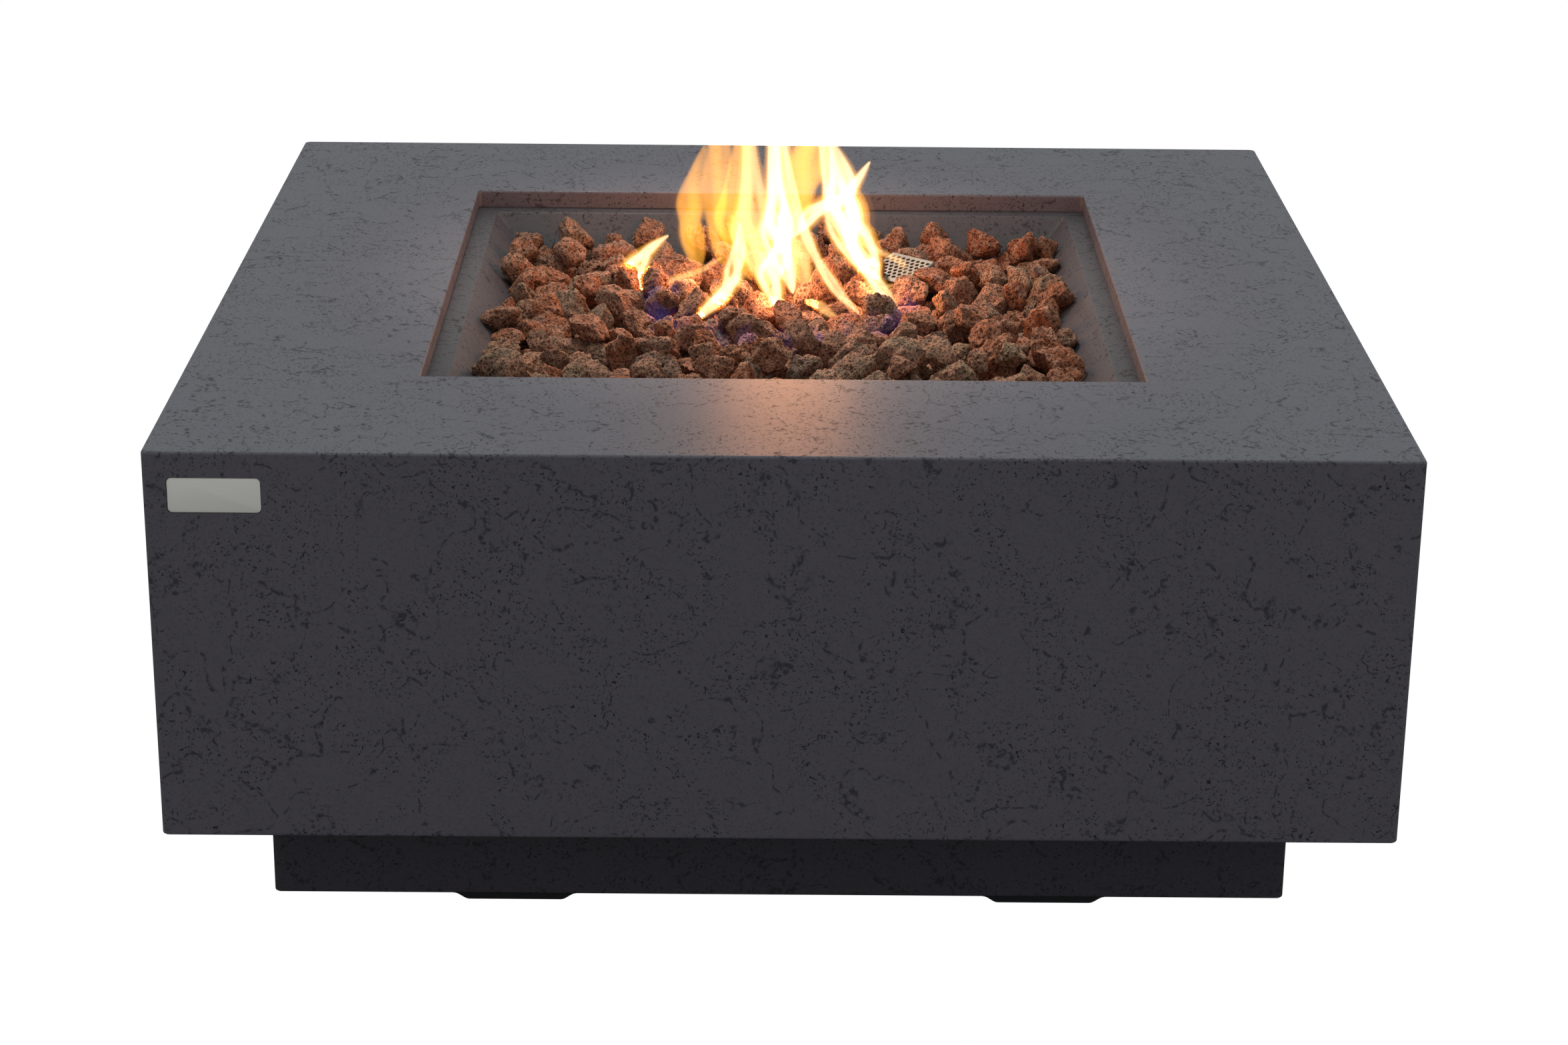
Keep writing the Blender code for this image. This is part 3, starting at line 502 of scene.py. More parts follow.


# ---- Plinth -----------------------------------------------------------------------
# A cast ring, painted darker for the shade under the overhang, set back 70 mm under
# the block so that the table seems to float.
# A notch in the rear lets the gas hose through.
plinth_low, plinth_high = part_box("plinth_frame")
plinth_half = plinth_high.x
plinth_wall = 0.030
plinth_inner = plinth_half - plinth_wall
notch_half = 0.040
notch_top = 0.050
levels = eased(plinth_half - arris, plinth_low.z + arris, arris, -90, 0, corner_radius)
levels += eased(plinth_half - arris, plinth_high.z - arris, arris, 0, 90, corner_radius)
levels.append((plinth_inner, 0.008, plinth_high.z))
levels.append((plinth_inner, 0.008, plinth_low.z))
cast_plinth = casting("cast_plinth", levels)
notch = [(y, notch_half, notch_top, 0.004) for y in (plinth_inner - 0.020, plinth_half + 0.020)]
carve(cast_plinth, front_form("notch_form", notch, Vector((0.0, 0.0, 0.0))))
settle(cast_plinth)
# Painted darker than the table's concrete: painted shade for the plinth's place under the overhang.
plinth_concrete_painted_shade = concrete("plinth_concrete", (0.072, 0.061, 0.072), 0.65, 0.28, 0.75)
fit_piece(cast_plinth, "table", "plinth_concrete", plinth_concrete_painted_shade, "plinth_frame")


# ---- Feet -------------------------------------------------------------------------
# Four low moulded rubber pads under the front and the rear of the plinth, rounded up
# at their ends.


def two_tone(name, fixed, clouds, first, second, smoothest, rougher, grain=None):
    """A finish that drifts between two close colours and gets rougher on the way."""
    made = Finish(name, fixed)
    drift = made.noise(*clouds)
    relief = (made.noise(grain[0], grain[1]), grain[2]) if grain else ()
    return made.use(made.blend(drift, first, second), smoothest + rougher * drift, *relief)


black_rubber = two_tone("black_rubber", {"Specular IOR Level": 0.35}, (60.0, 3.0), (0.010, 0.010, 0.011),
                        (0.026, 0.025, 0.026), 0.70, 0.2, (1500.0, 2.0, 0.00008))
paint_nodes(black_rubber, "foot_front_left", "foot_front_right", "foot_rear_left", "foot_rear_right")


# ---- Badge ------------------------------------------------------------------------
# A blank plate in a pale satin finish, with rounded corners and a soft edge, let into
# the front face near its left end.
badge_front = badge_low.y
edge = 0.0005
steps_in = ((badge_high.y, 0.0), (badge_front + edge, 0.0),
            (badge_front + 0.3 * edge, 0.3 * edge), (badge_front, edge))
badge_levels = [(y, badge_half_x - less, badge_half_z - less, badge_corner - less) for y, less in steps_in]
badge = front_form("badge", badge_levels, badge_middle, 30.0)
satin = Finish("satin_badge", {"Metallic": 0.0, "Specular IOR Level": 0.5})
brushed = satin.noise(900.0, 2.0, where=satin.stretch((0.06, 1.0, 1.0)))
dull = satin.noise(50.0, 3.0)
satin_badge = satin.use(satin.blend(0.5 * brushed + 0.5 * dull, (0.97, 0.88, 0.77), (1.0, 0.95, 0.86)),
                        0.34 + 0.14 * brushed, brushed, 0.00004)
fit_piece(badge, "table", "satin_badge", satin_badge, "badge_plate")


# ---- Burner -----------------------------------------------------------------------
# A ring and two cross tubes of stainless steel on four small legs, blued and browned
# by the heat, with a threaded nipple, locknut, air mixer and orifice under its hub.
steel = Finish("heated_stainless", {"Metallic": 1.0})
straw = steel.noise(30.0, 3.0)
soot = steel.fade(steel.noise(70.0, 4.0), 0.48, 0.70)
fine = steel.noise(900.0, 2.0)
tempered = steel.blend(steel.fade(straw, 0.40, 0.60), (0.46, 0.36, 0.24), (0.30, 0.29, 0.36))
heated_stainless = steel.use(steel.blend(0.6 * soot, tempered, (0.06, 0.05, 0.045)),
                             0.34 + 0.16 * fine + 0.3 * soot, fine, 0.00005)
paint_nodes(heated_stainless, "burner_ring")

plate = Finish("zinc_plated_steel", {"Metallic": 1.0})
spangle = plate.cells(140.0)
film = plate.noise(24.0, 3.0)
fine = plate.noise(1100.0, 2.0)
cool_zinc = plate.blend(spangle, (0.42, 0.43, 0.45), (0.62, 0.63, 0.64))
zinc = plate.use(plate.blend(0.35 * film, cool_zinc, (0.52, 0.49, 0.38)),
                 0.30 + 0.18 * film + 0.12 * fine, 0.4 * spangle + 0.3 * fine, 0.00005)
paint_nodes(zinc, "burner_leg_1", "burner_leg_2", "burner_leg_3", "burner_leg_4", "hub_nipple",
            "nipple_locknut")

turned_brass = Finish("machined_brass", {"Metallic": 1.0})
tarnish = turned_brass.noise(35.0, 4.0)
tool_marks = turned_brass.noise(1800.0, 1.0)
brass = turned_brass.use(turned_brass.blend(turned_brass.fade(tarnish, 0.35, 0.75), (0.68, 0.48, 0.20),
                                     (0.36, 0.23, 0.09)),
                         0.26 + 0.28 * tarnish, tool_marks, 0.00003)
paint_nodes(brass, "air_mixer", "orifice_fitting")


# ---- Pilot ------------------------------------------------------------------------
# Under the hood a bracket over the slot in the floor holds a brass pilot jet between a
# spark electrode in white ceramic and a copper thermocouple.
paint_nodes(zinc, "pilot_bracket", "inlet_bracket", "heat_shield")
paint_nodes(brass, "pilot_burner")
fired = Finish("white_ceramic", {"Specular IOR Level": 0.4})
smoke = fired.fade(fired.noise(120.0, 3.0), 0.45, 0.75)
pores = fired.noise(1400.0, 2.0)
ceramic = fired.use(fired.blend(0.7 * smoke, (0.74, 0.72, 0.66), (0.20, 0.16, 0.12)),
                    0.55 + 0.25 * smoke, pores, 0.00004)
paint_nodes(ceramic, "spark_electrode")
drawn = Finish("bare_copper", {"Metallic": 1.0})
browned = drawn.fade(drawn.noise(60.0, 3.0), 0.35, 0.70)
fine = drawn.noise(1500.0, 1.0)
copper = drawn.use(drawn.blend(browned, (0.72, 0.35, 0.21), (0.26, 0.11, 0.07)),
                   0.28 + 0.30 * browned, fine, 0.00002)
paint_nodes(copper, "thermocouple", "thermocouple_lead")


# ---- Pilot hood -------------------------------------------------------------------
# A cover folded from 1 mm stainless sheet, open towards the burner ring, with round
# holes punched in staggered rows in its sloped top.
hood_half_x = 0.024
hood_half_y = 0.020
hood_front = basin_floor + 0.049
hood_back = basin_floor + 0.062
hood_foot = basin_floor + 0.0022
hood_sheet = 0.0010
fold = 0.0022
hood_slope = math.atan2(hood_back - hood_front, 2.0 * hood_half_y)
hood_place = Matrix.Translation((pilot_spot.x, pilot_spot.y, 0.0)) @ Matrix.Rotation(pilot_turn, 4, "Z")


class Recipe(Board):
    """A geometry tree whose sizes are named inputs of the modifier that runs it."""

    kinds = {float: "NodeSocketFloat", int: "NodeSocketInt", bpy.types.Object: "NodeSocketObject",
             bpy.types.Collection: "NodeSocketCollection"}

    def __init__(self, name, sizes):
        super().__init__(bpy.data.node_groups.new(name, "GeometryNodeTree"))
        self.sizes = sizes
        self.keys = {}
        face = self.tree.interface
        face.new_socket("Geometry", in_out="INPUT", socket_type="NodeSocketGeometry")
        face.new_socket("Geometry", in_out="OUTPUT", socket_type="NodeSocketGeometry")
        for label, value in sizes.items():
            socket = face.new_socket(label, in_out="INPUT", socket_type=self.kinds[type(value)])
            self.keys[label] = socket.identifier
        self.inlet = self.tree.nodes.new("NodeGroupInput")
        self.given = Wire(self, self.inlet.outputs[0])

    def size(self, label):
        """The wire of a named input."""
        return Wire(self, self.inlet.outputs[label])

    def on_points(self, points, instance, **more):
        """Put an instance on every point."""
        return self.node("GeometryNodeInstanceOnPoints", {}, {"Points": points, "Instance": instance, **more})

    def turned_by(self, angles):
        """Euler angles as a rotation."""
        return self.node("FunctionNodeEulerToRotation", {}, {0: angles})

    def run(self, piece, shape, material):
        """Finish the tree, run it on a piece and keep the result as plain mesh."""
        real = self.node("GeometryNodeRealizeInstances", {}, {0: shape})
        dressed = self.node("GeometryNodeSetMaterial", {}, {"Geometry": real, "Material": material})
        outlet = self.tree.nodes.new("NodeGroupOutput")
        self.tree.links.new(dressed.socket, outlet.inputs[0])
        change = piece.modifiers.new(self.tree.name, "NODES")
        change.node_group = self.tree
        for label, value in self.sizes.items():
            change[self.keys[label]] = value
        return settle(piece)


def scatter(name, spots):
    """An object that is only points, for a recipe to put things on."""
    mesh = bpy.data.meshes.new(name)
    mesh.from_pydata([tuple(spot) for spot in spots], [], [])
    return stand(name, mesh)


bm = bmesh.new()
profile = ((-hood_half_y, hood_foot), (hood_half_y, hood_foot),
           (hood_half_y, hood_back), (-hood_half_y, hood_front))
ends = [[bm.verts.new((x, y, z)) for y, z in profile] for x in (-hood_half_x, hood_half_x)]
flaps = [bm.faces.new(ends[0]), bm.faces.new(ends[1])]
for i in range(4):
    j = (i + 1) % 4
    flaps.append(bm.faces.new((ends[0][i], ends[0][j], ends[1][j], ends[1][i])))
bmesh.ops.recalc_face_normals(bm, faces=bm.faces)
open_sides = [flaps[2], flaps[5]]
bmesh.ops.delete(bm, geom=open_sides, context="FACES_ONLY")
folds = [seam for seam in bm.edges if len(seam.link_faces) == 2]
bmesh.ops.bevel(bm, geom=folds, offset=fold, segments=5, profile=0.5, affect="EDGES")
hood_mesh = bpy.data.meshes.new("perforated_hood")
bm.to_mesh(hood_mesh)
bm.free()
hood = stand("perforated_hood", hood_mesh)
thicken = hood.modifiers.new("sheet", "SOLIDIFY")
thicken.thickness = hood_sheet
thicken.offset = -1.0
settle(hood)

hood_sizes = {"Hole Radius": 0.0019, "Row Pitch": 0.0047, "Hole Pitch": 0.0054, "Rows": 7, "Holes": 8}
punch = Recipe("punched_holes", hood_sizes)
rows = punch.size("Rows")
per_row = punch.size("Holes")
lattice = punch.node("GeometryNodeMeshGrid", {}, {
    "Size X": punch.size("Hole Pitch") * (per_row - 1.0),
    "Size Y": punch.size("Row Pitch") * (rows - 1.0),
    "Vertices X": per_row,
    "Vertices Y": rows,
})
place = punch.node("GeometryNodeInputPosition", {}, {})
row = punch.node("ShaderNodeSeparateXYZ", {}, {0: place}, "Y") / punch.size("Row Pitch")
odd = punch.node("ShaderNodeMath", {"operation": "PINGPONG"}, {0: row, 1: 1.0})
nudge = punch.node("ShaderNodeCombineXYZ", {}, {"X": (odd - 0.5) * punch.size("Hole Pitch") * 0.5})
staggered = punch.node("GeometryNodeSetPosition", {}, {"Geometry": lattice, "Offset": nudge})
pin = punch.node("GeometryNodeMeshCylinder", {}, {
    "Vertices": 14, "Radius": punch.size("Hole Radius"), "Depth": 0.006})
pins = punch.on_points(staggered, pin)
tilted = punch.node("GeometryNodeTransform", {}, {
    "Geometry": punch.node("GeometryNodeRealizeInstances", {}, {0: pins}),
    "Translation": (0.0, 0.0, (hood_front + hood_back) / 2.0),
    "Rotation": (hood_slope, 0.0, 0.0),
})
punched = punch.node("GeometryNodeMeshBoolean", {"operation": "DIFFERENCE"}, {
    "Mesh 1": punch.given, "Mesh 2": tilted})
sheet = Finish("hood_stainless", {"Metallic": 1.0})
warm = sheet.noise(40.0, 3.0)
fine = sheet.noise(1000.0, 2.0)
hood_stainless = sheet.use(sheet.blend(warm, (0.30, 0.27, 0.24), (0.20, 0.16, 0.13)),
                           0.48 + 0.16 * fine, fine, 0.00004)
punch.run(hood, punched, hood_stainless)
hood.data.transform(hood_place)
fit_piece(hood, "table", "brushed_stainless", hood_stainless, "pilot_hood")


# ---- Lava rock --------------------------------------------------------------------
# Loose lumps of red-brown lava, mostly 20 to 50 mm across, full of gas pores. They are
# poured in by hand and settle on the floor, the burner and the sloped walls.
pour = random.Random(11)
lump_count = 16
rock_level = top - 0.012
ring_height = basin_floor + 0.016
ring_radius = 0.120
ring_tube = 0.008
contact = 0.84
pour_reach = 0.250


def lump(index, detail):
    """A lava lump about 1 m in radius: a ball broken flat by chips, with pores eaten into it."""
    draw = random.Random(500 + index)
    chips = []
    for _ in range(10):
        facing = Vector([draw.gauss(0.0, 1.0) for _ in range(3)]).normalized()
        chips.append((facing, draw.uniform(0.54, 0.90)))
    drift = Vector([draw.uniform(-50.0, 50.0) for _ in range(3)])
    bm = bmesh.new()
    bmesh.ops.create_icosphere(bm, subdivisions=detail, radius=1.0)
    for vert in bm.verts:
        out = vert.co.normalized()
        blunt = sum((max(out.dot(facing), 0.0) / reach) ** 30 for facing, reach in chips)
        reach = min(1.05, blunt ** (-1.0 / 30.0)) if blunt > 0.0 else 1.05
        reach += 0.11 * noise.noise(out * 1.6 + drift) + 0.10 * noise.noise(out * 3.7 + drift)
        reach += 0.055 * noise.noise(out * 8.0 - drift)
        hollow = noise.voronoi(out * 1.9 + drift)[0][0]
        large_pore = noise.voronoi(out * 4.2 - drift)[0][0]
        reach -= 0.20 * max(0.0, 0.36 - hollow) / 0.36 + 0.10 * max(0.0, 0.36 - large_pore) / 0.36
        vert.co = out * reach
    return wrap(bm, f"lump_{index}_{detail}", 48.0)


def resting_height(x, y, radius, laid):
    """Lowest height at which a lump can rest at a spot, on all that lies there."""
    reach = contact * radius
    height = basin_floor + reach
    height = max(height, basin_floor + max(abs(x), abs(y)) - floor_half + reach * 1.15)
    away = math.hypot(x, y)
    gaps = [abs(away - ring_radius)]
    if away < ring_radius:
        gaps += [abs(x), abs(y)]
    for gap in gaps:
        if gap < reach + ring_tube:
            height = max(height, ring_height + math.sqrt((reach + ring_tube) ** 2 - gap * gap))
    for other_x, other_y, other_z, other_radius in laid:
        both = contact * (radius + other_radius)
        run = (x - other_x) ** 2 + (y - other_y) ** 2
        if run < both * both:
            height = max(height, other_z + math.sqrt(both * both - run))
    return height


def clear_of_hood(x, y, radius):
    """Whether a lump at a spot stays off the pilot hood."""
    local = hood_place.inverted() @ Vector((x, y, 0.0))
    off_x = max(abs(local.x) - hood_half_x, 0.0)
    off_y = max(abs(local.y) - hood_half_y, 0.0)
    return math.hypot(off_x, off_y) > 0.35 * radius


laid = []


def pour_in(smallest, usual, largest, level, places, patience):
    """Lay lumps one by one, each in the lowest of many places, until the bed is full."""
    misses = 0
    while misses < patience:
        radius = pour.triangular(smallest, largest, usual)
        best = None
        for _ in range(places):
            x = pour.uniform(-pour_reach, pour_reach)
            y = pour.uniform(-pour_reach, pour_reach)
            if clear_of_hood(x, y, radius):
                height = resting_height(x, y, radius, laid)
                if best is None or height < best[2]:
                    best = (x, y, height, radius)
        if best[2] + radius > level + pour.uniform(-0.006, 0.006):
            misses += 1
        else:
            laid.append(best)


pour_in(0.0095, 0.0125, 0.0150, basin_floor + 0.034, 40, 12)
pour_in(0.0105, 0.0165, 0.0260, rock_level, 30, 40)
pour_in(0.0105, 0.0150, 0.0210, rock_level, 6, 260)

piles = {"lava_rock_lower": (3, []), "lava_rock_upper_left": (4, []), "lava_rock_upper_right": (4, [])}
for x, y, z, radius in laid:
    if z + radius < rock_level - 0.024:
        name = "lava_rock_lower"
    else:
        name = "lava_rock_upper_left" if x < 0.0 else "lava_rock_upper_right"
    piles[name][1].append((x, y, z, radius))

lava = Finish("lava_rock", {"Specular IOR Level": 0.25})
tint = lava.node("ShaderNodeAttribute", {"attribute_name": "tint"}, {}, "Fac")
age = lava.node("ShaderNodeAttribute", {"attribute_name": "age"}, {}, "Fac")
rusty = lava.blend(lava.fade(tint, 0.15, 0.75), (0.295, 0.096, 0.043), (0.240, 0.122, 0.078))
grey = lava.blend(tint, (0.135, 0.088, 0.068), (0.335, 0.212, 0.128))
stone_color = lava.blend(lava.fade(age, 0.55, 0.80), rusty, grey)
patches = lava.noise(70.0, 4.0)
dust = lava.noise(260.0, 4.0)
crust = lava.blend(lava.fade(patches, 0.35, 0.70), stone_color, (0.425, 0.200, 0.125))
# The pores darken the stone almost to black: painted shade in the hollows, over their bump.
large_pores = 1.0 - lava.fade(lava.cells(260.0), 0.16, 0.42)
small_pores = 1.0 - lava.fade(lava.cells(620.0), 0.18, 0.46)
pores = large_pores | (0.8 * small_pores)
lava_rock = lava.use(lava.blend(0.66 * pores + 0.30 * (dust - 0.5), crust, (0.035, 0.016, 0.011)),
                     0.82 + 0.15 * dust, 0.8 * dust - 1.6 * pores, 0.0011)

for name, (detail, stones) in piles.items():
    lumps = bpy.data.collections.new(f"lumps_for_{name}")
    for index in range(lump_count):
        shape = lump(index, detail)
        bpy.context.scene.collection.objects.unlink(shape)
        lumps.objects.link(shape)
    pile = scatter(name, [stone[:3] for stone in stones])
    radii = pile.data.attributes.new("radius", "FLOAT", "POINT")
    radii.data.foreach_set("value", [stone[3] for stone in stones])
    rubble = Recipe(f"{name}_scatter", {"Seed": 5, "Flattest": 0.64, "Longest": 1.30})
    seed = rubble.size("Seed")
    vector_kind = {"data_type": "FLOAT_VECTOR"}
    turn = rubble.node("FunctionNodeRandomValue", vector_kind, {
        0: (0.0, 0.0, 0.0), 1: (6.283, 6.283, 6.283), "Seed": seed})
    flat = rubble.node("ShaderNodeCombineXYZ", {}, {"X": 0.92, "Y": 0.78, "Z": rubble.size("Flattest")})
    long = rubble.node("ShaderNodeCombineXYZ", {}, {"X": rubble.size("Longest"), "Y": 1.02, "Z": 0.90})
    form = rubble.node("FunctionNodeRandomValue", vector_kind, {0: flat, 1: long, "Seed": seed + 1.0})
    radius = rubble.node("GeometryNodeInputNamedAttribute", {"data_type": "FLOAT"}, {"Name": "radius"})
    girth = rubble.node("ShaderNodeVectorMath", {"operation": "SCALE"}, {0: form, 3: 1.10 * radius})
    family = rubble.node("GeometryNodeCollectionInfo", {}, {
        "Collection": lumps, "Separate Children": True, "Reset Children": True})
    which = rubble.node("FunctionNodeRandomValue", {"data_type": "INT"}, {
        4: 0, 5: lump_count - 1, "Seed": seed + 2.0}, 2)
    stones_laid = rubble.on_points(rubble.given, family, Rotation=rubble.turned_by(turn), Scale=girth,
                                   **{"Pick Instance": True, "Instance Index": which})
    for mark, offset in (("tint", 3.0), ("age", 4.0)):
        value = rubble.node("FunctionNodeRandomValue", {"data_type": "FLOAT"}, {"Seed": seed + offset}, 1)
        per_stone = {"data_type": "FLOAT", "domain": "INSTANCE"}
        stones_laid = rubble.node("GeometryNodeStoreNamedAttribute", per_stone, {
            "Geometry": stones_laid, "Name": mark, "Value": value})
    rubble.run(pile, stones_laid, lava_rock)
    for shape in list(lumps.objects):
        bpy.data.objects.remove(shape)
    bed = ["lava_rock_bed"] if name == "lava_rock_lower" else []
    fit_piece(pile, "table", "lava_rock", lava_rock, *bed)


# ---- Under the table --------------------------------------------------------------
# A ring of fibre-cement board closes the overhang. Zinc-plated angles hold it to the
# walls, and stepped cleats clamp the basin's flange up under the slab.
board = Finish("fibre_cement_board", {"Specular IOR Level": 0.3})
fibres = board.noise(420.0, 3.0, where=board.stretch((1.0, 0.22, 1.0)))
stains = board.noise(14.0, 4.0)
dark_board = (0.150, 0.145, 0.138)
pale_board = (0.300, 0.290, 0.275)
fibre_cement = board.use(board.blend(0.5 * fibres + 0.5 * stains, dark_board, pale_board),
                         0.78 + 0.18 * fibres, fibres, 0.00018)
paint_nodes(fibre_cement, "base_deck")
for side_name in ("right", "rear", "left", "front"):
    paint_nodes(zinc, f"deck_bracket_{side_name}", f"basin_cleat_{side_name}")


def set_out(name, pattern, axis, turn, spots, material):
    """Put a fastener at every spot, each turned a little further about its own axis."""
    layout = Recipe(f"{name}_layout", {"Fastener": pattern, "Turn": turn})
    own_turn = layout.node("GeometryNodeInputIndex", {}, {}) * layout.size("Turn")
    fastener = layout.node("GeometryNodeObjectInfo", {}, {"Object": layout.size("Fastener")}, "Geometry")
    angles = layout.node("ShaderNodeCombineXYZ", {}, {axis: own_turn})
    placed = layout.on_points(layout.given, fastener, Rotation=layout.turned_by(angles))
    made = scatter(name, spots)
    layout.run(made, placed, material)
    bpy.data.objects.remove(pattern)
    return made


def hex_outline(apothem, steps=24):
    """Outline of a hexagon, with as many points as its washer's."""
    outline = []
    for step in range(steps):
        angle = 2.0 * math.pi * step / steps
        reach = apothem / math.cos(angle % (math.pi / 3.0) - math.pi / 6.0)
        outline.append((reach * math.cos(angle), reach * math.sin(angle)))
    return outline


washer = circle(0.0085)
head = hex_outline(0.0050)
crown = hex_outline(0.0045)
bolt_levels = ((washer, 0.0), (washer, -0.0012), (head, -0.0012), (head, -0.0046), (crown, -0.0052))
hex_bolt = loft("hex_bolt", [[(x, y, z) for x, y in outline] for outline, z in bolt_levels])
bracket_reach = 0.405
bracket_spread = 0.018
cleat_reach = 0.332
deck_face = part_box("base_deck")[0].z
cleat_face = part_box("basin_cleat_right")[0].z
bolt_spots = []
for quarter in range(4):
    swing = Matrix.Rotation(quarter * math.pi / 2.0, 3, "Z")
    bolt_spots += [swing @ Vector((bracket_reach, y, deck_face)) for y in (-bracket_spread, bracket_spread)]
    bolt_spots.append(swing @ Vector((cleat_reach, 0.0, cleat_face)))
hex_bolts = set_out("hex_bolts", hex_bolt, "Z", 0.9, bolt_spots, zinc)
fit_piece(hex_bolts, "table", "zinc_plated_steel", zinc)


# ---- Tubes and leads --------------------------------------------------------------
# Soft aluminium tube carries gas to the burner and to the pilot, copper sheathes the
# thermocouple lead, and red silicone insulates the spark lead.
aluminium = two_tone("soft_aluminium", {"Metallic": 1.0}, (30.0, 4.0), (0.50, 0.50, 0.51),
                     (0.74, 0.74, 0.75), 0.30, 0.22, (1300.0, 2.0, 0.00003))
paint_nodes(aluminium, "feed_tube", "inlet_tube", "pilot_tube")
red_silicone = two_tone("red_silicone", {"Specular IOR Level": 0.45}, (90.0, 3.0), (0.34, 0.030, 0.020),
                        (0.46, 0.085, 0.055), 0.48, 0.25, (1600.0, 1.0, 0.00003))
paint_nodes(red_silicone, "spark_lead")


# ---- Control plate ----------------------------------------------------------------
# A plate of brushed stainless steel at the bottom of the pocket, held by four
# pan-head screws. Etched strokes round the knob show how far it turns.
knob_low, knob_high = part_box("control_knob")
knob_middle = middle_of("control_knob")
igniter_middle = middle_of("igniter_cap")
plate_front = panel_high.x
plate_edge = 0.0004
plate_half_y = (panel_high.y - panel_low.y) / 2.0
plate_half_z = (panel_high.z - panel_low.z) / 2.0
plate_corner = 0.0036


def turned(name, profile, at, steps=48, ring=False, smooth_angle=32.0):
    """Turn a profile of (radius, distance out) points about a line along X."""
    bm = bmesh.new()
    loops = []
    for radius, out in profile:
        if radius == 0.0:
            loops.append([bm.verts.new((plate_front + out, at.y, at.z))])
            continue
        outline = circle(radius, steps)
        loops.append([bm.verts.new((plate_front + out, at.y + y, at.z + z)) for y, z in outline])
    pairs = list(zip(loops, loops[1:]))
    if ring:
        pairs.append((loops[-1], loops[0]))
    for near, far in pairs:
        for i in range(steps):
            j = (i + 1) % steps
            corners = (near[i % len(near)], near[j % len(near)], far[j % len(far)], far[i % len(far)])
            bm.faces.new(list(dict.fromkeys(corners)))
    return wrap(bm, name, smooth_angle)


def plug(radius, low, high):
    """Profile of a plain round cutter."""
    return [(0.0, low), (radius, low), (radius, high), (0.0, high)]


plate_levels = [
    (panel_low.x, plate_half_y, plate_half_z, plate_corner),
    (plate_front - plate_edge, plate_half_y, plate_half_z, plate_corner),
    (plate_front, plate_half_y - plate_edge, plate_half_z - plate_edge, plate_corner - plate_edge),
]
control_plate = side_form("control_plate", plate_levels, panel_middle)
neck_hole = 0.0095
igniter_hole = 0.0109
screw_hole = 0.0022
carve(control_plate, turned("neck_form", plug(neck_hole, -cut_past, cut_past), knob_middle))
carve(control_plate, turned("body_form", plug(igniter_hole, -cut_past, cut_past), igniter_middle))
screw_middles = []
for index in range(4):
    screw_middles.append(middle_of(f"panel_screw_{index + 1}"))
    drill = turned(f"screw_form_{index}", plug(screw_hole, -cut_past, cut_past), screw_middles[-1], 16)
    carve(control_plate, drill)
settle(control_plate)
grained = Finish("brushed_stainless", {"Metallic": 1.0})
lines = grained.noise(1400.0, 2.0, where=grained.stretch((1.0, 0.03, 1.0)))
touch = grained.noise(25.0, 3.0)
stainless = grained.use(grained.blend(0.6 * lines + 0.4 * touch, (0.50, 0.49, 0.47), (0.68, 0.67, 0.64)),
                        0.26 + 0.16 * lines + 0.08 * touch, lines, 0.00005)
fit_piece(control_plate, "table", "brushed_stainless", stainless, "control_panel")

stroke_sizes = {"Strokes": 13, "Radius": 0.0318, "Start": math.pi / 2.0, "Sweep": math.pi, "Length": 0.0042,
                "Width": 0.0007}
dial = Recipe("dial_strokes", stroke_sizes)
sweep = dial.size("Sweep")
start_points = dial.node("GeometryNodeMeshLine", {}, {"Count": dial.size("Strokes")})
share = dial.node("GeometryNodeInputIndex", {}, {}) / (dial.size("Strokes") - 1.0)
swept = share * sweep + dial.size("Start")
reach_y = dial.node("ShaderNodeMath", {"operation": "COSINE"}, {0: swept}) * dial.size("Radius")
reach_z = dial.node("ShaderNodeMath", {"operation": "SINE"}, {0: swept}) * dial.size("Radius")
round_points = dial.node("GeometryNodeSetPosition", {}, {
    "Geometry": start_points,
    "Position": dial.node("ShaderNodeCombineXYZ", {}, {"Y": reach_y, "Z": reach_z}),
})
stroke_box = dial.node("ShaderNodeCombineXYZ", {}, {
    "X": 0.0002, "Y": dial.size("Length"), "Z": dial.size("Width")})
stroke = dial.node("GeometryNodeMeshCube", {}, {"Size": stroke_box})
stroke_turn = dial.turned_by(dial.node("ShaderNodeCombineXYZ", {}, {"X": swept}))
strokes = dial.on_points(round_points, stroke, Rotation=stroke_turn)
etched = two_tone("etched_black", {"Specular IOR Level": 0.3}, (700.0, 3.0), (0.012, 0.012, 0.012),
                  (0.060, 0.058, 0.055), 0.55, 0.3)
dial_strokes = scatter("dial_strokes", [(0.0, 0.0, 0.0)])
dial.run(dial_strokes, strokes, etched)
dial_strokes.data.transform(Matrix.Translation((plate_front, knob_middle.y, knob_middle.z)))
fit_piece(dial_strokes, "table", "black_plastic", etched)


# ---- Panel screws -----------------------------------------------------------------
# Four zinc-plated pan-head screws with a cross recess hold the plate to inserts in the
# casting.
head_profile = [(0.0, -0.0095), (0.0014, -0.0092), (0.0018, -0.0085), (0.0018, 0.0003), (0.0040, 0.0003),
                (0.0040, 0.0010), (0.0036, 0.0017), (0.0027, 0.0022), (0.0014, 0.0024), (0.0, 0.0024)]
pattern_screw = turned("pattern_screw", head_profile, Vector((0.0, 0.0, 0.0)), 24)
for index, (arm_y, arm_z) in enumerate(((0.0017, 0.00038), (0.00038, 0.0017))):
    arm_levels = [(plate_front + 0.0012, arm_y * 0.6, arm_z * 0.6, 0.0001),
                  (plate_front + 0.0030, arm_y, arm_z, 0.0001)]
    carve(pattern_screw, side_form(f"recess_form_{index}", arm_levels, Vector((0.0, 0.0, 0.0))))
settle(pattern_screw)
screw_spots = [(0.0, spot.y, spot.z) for spot in screw_middles]
screws = set_out("plate_screws", pattern_screw, "X", 0.7, screw_spots, zinc)
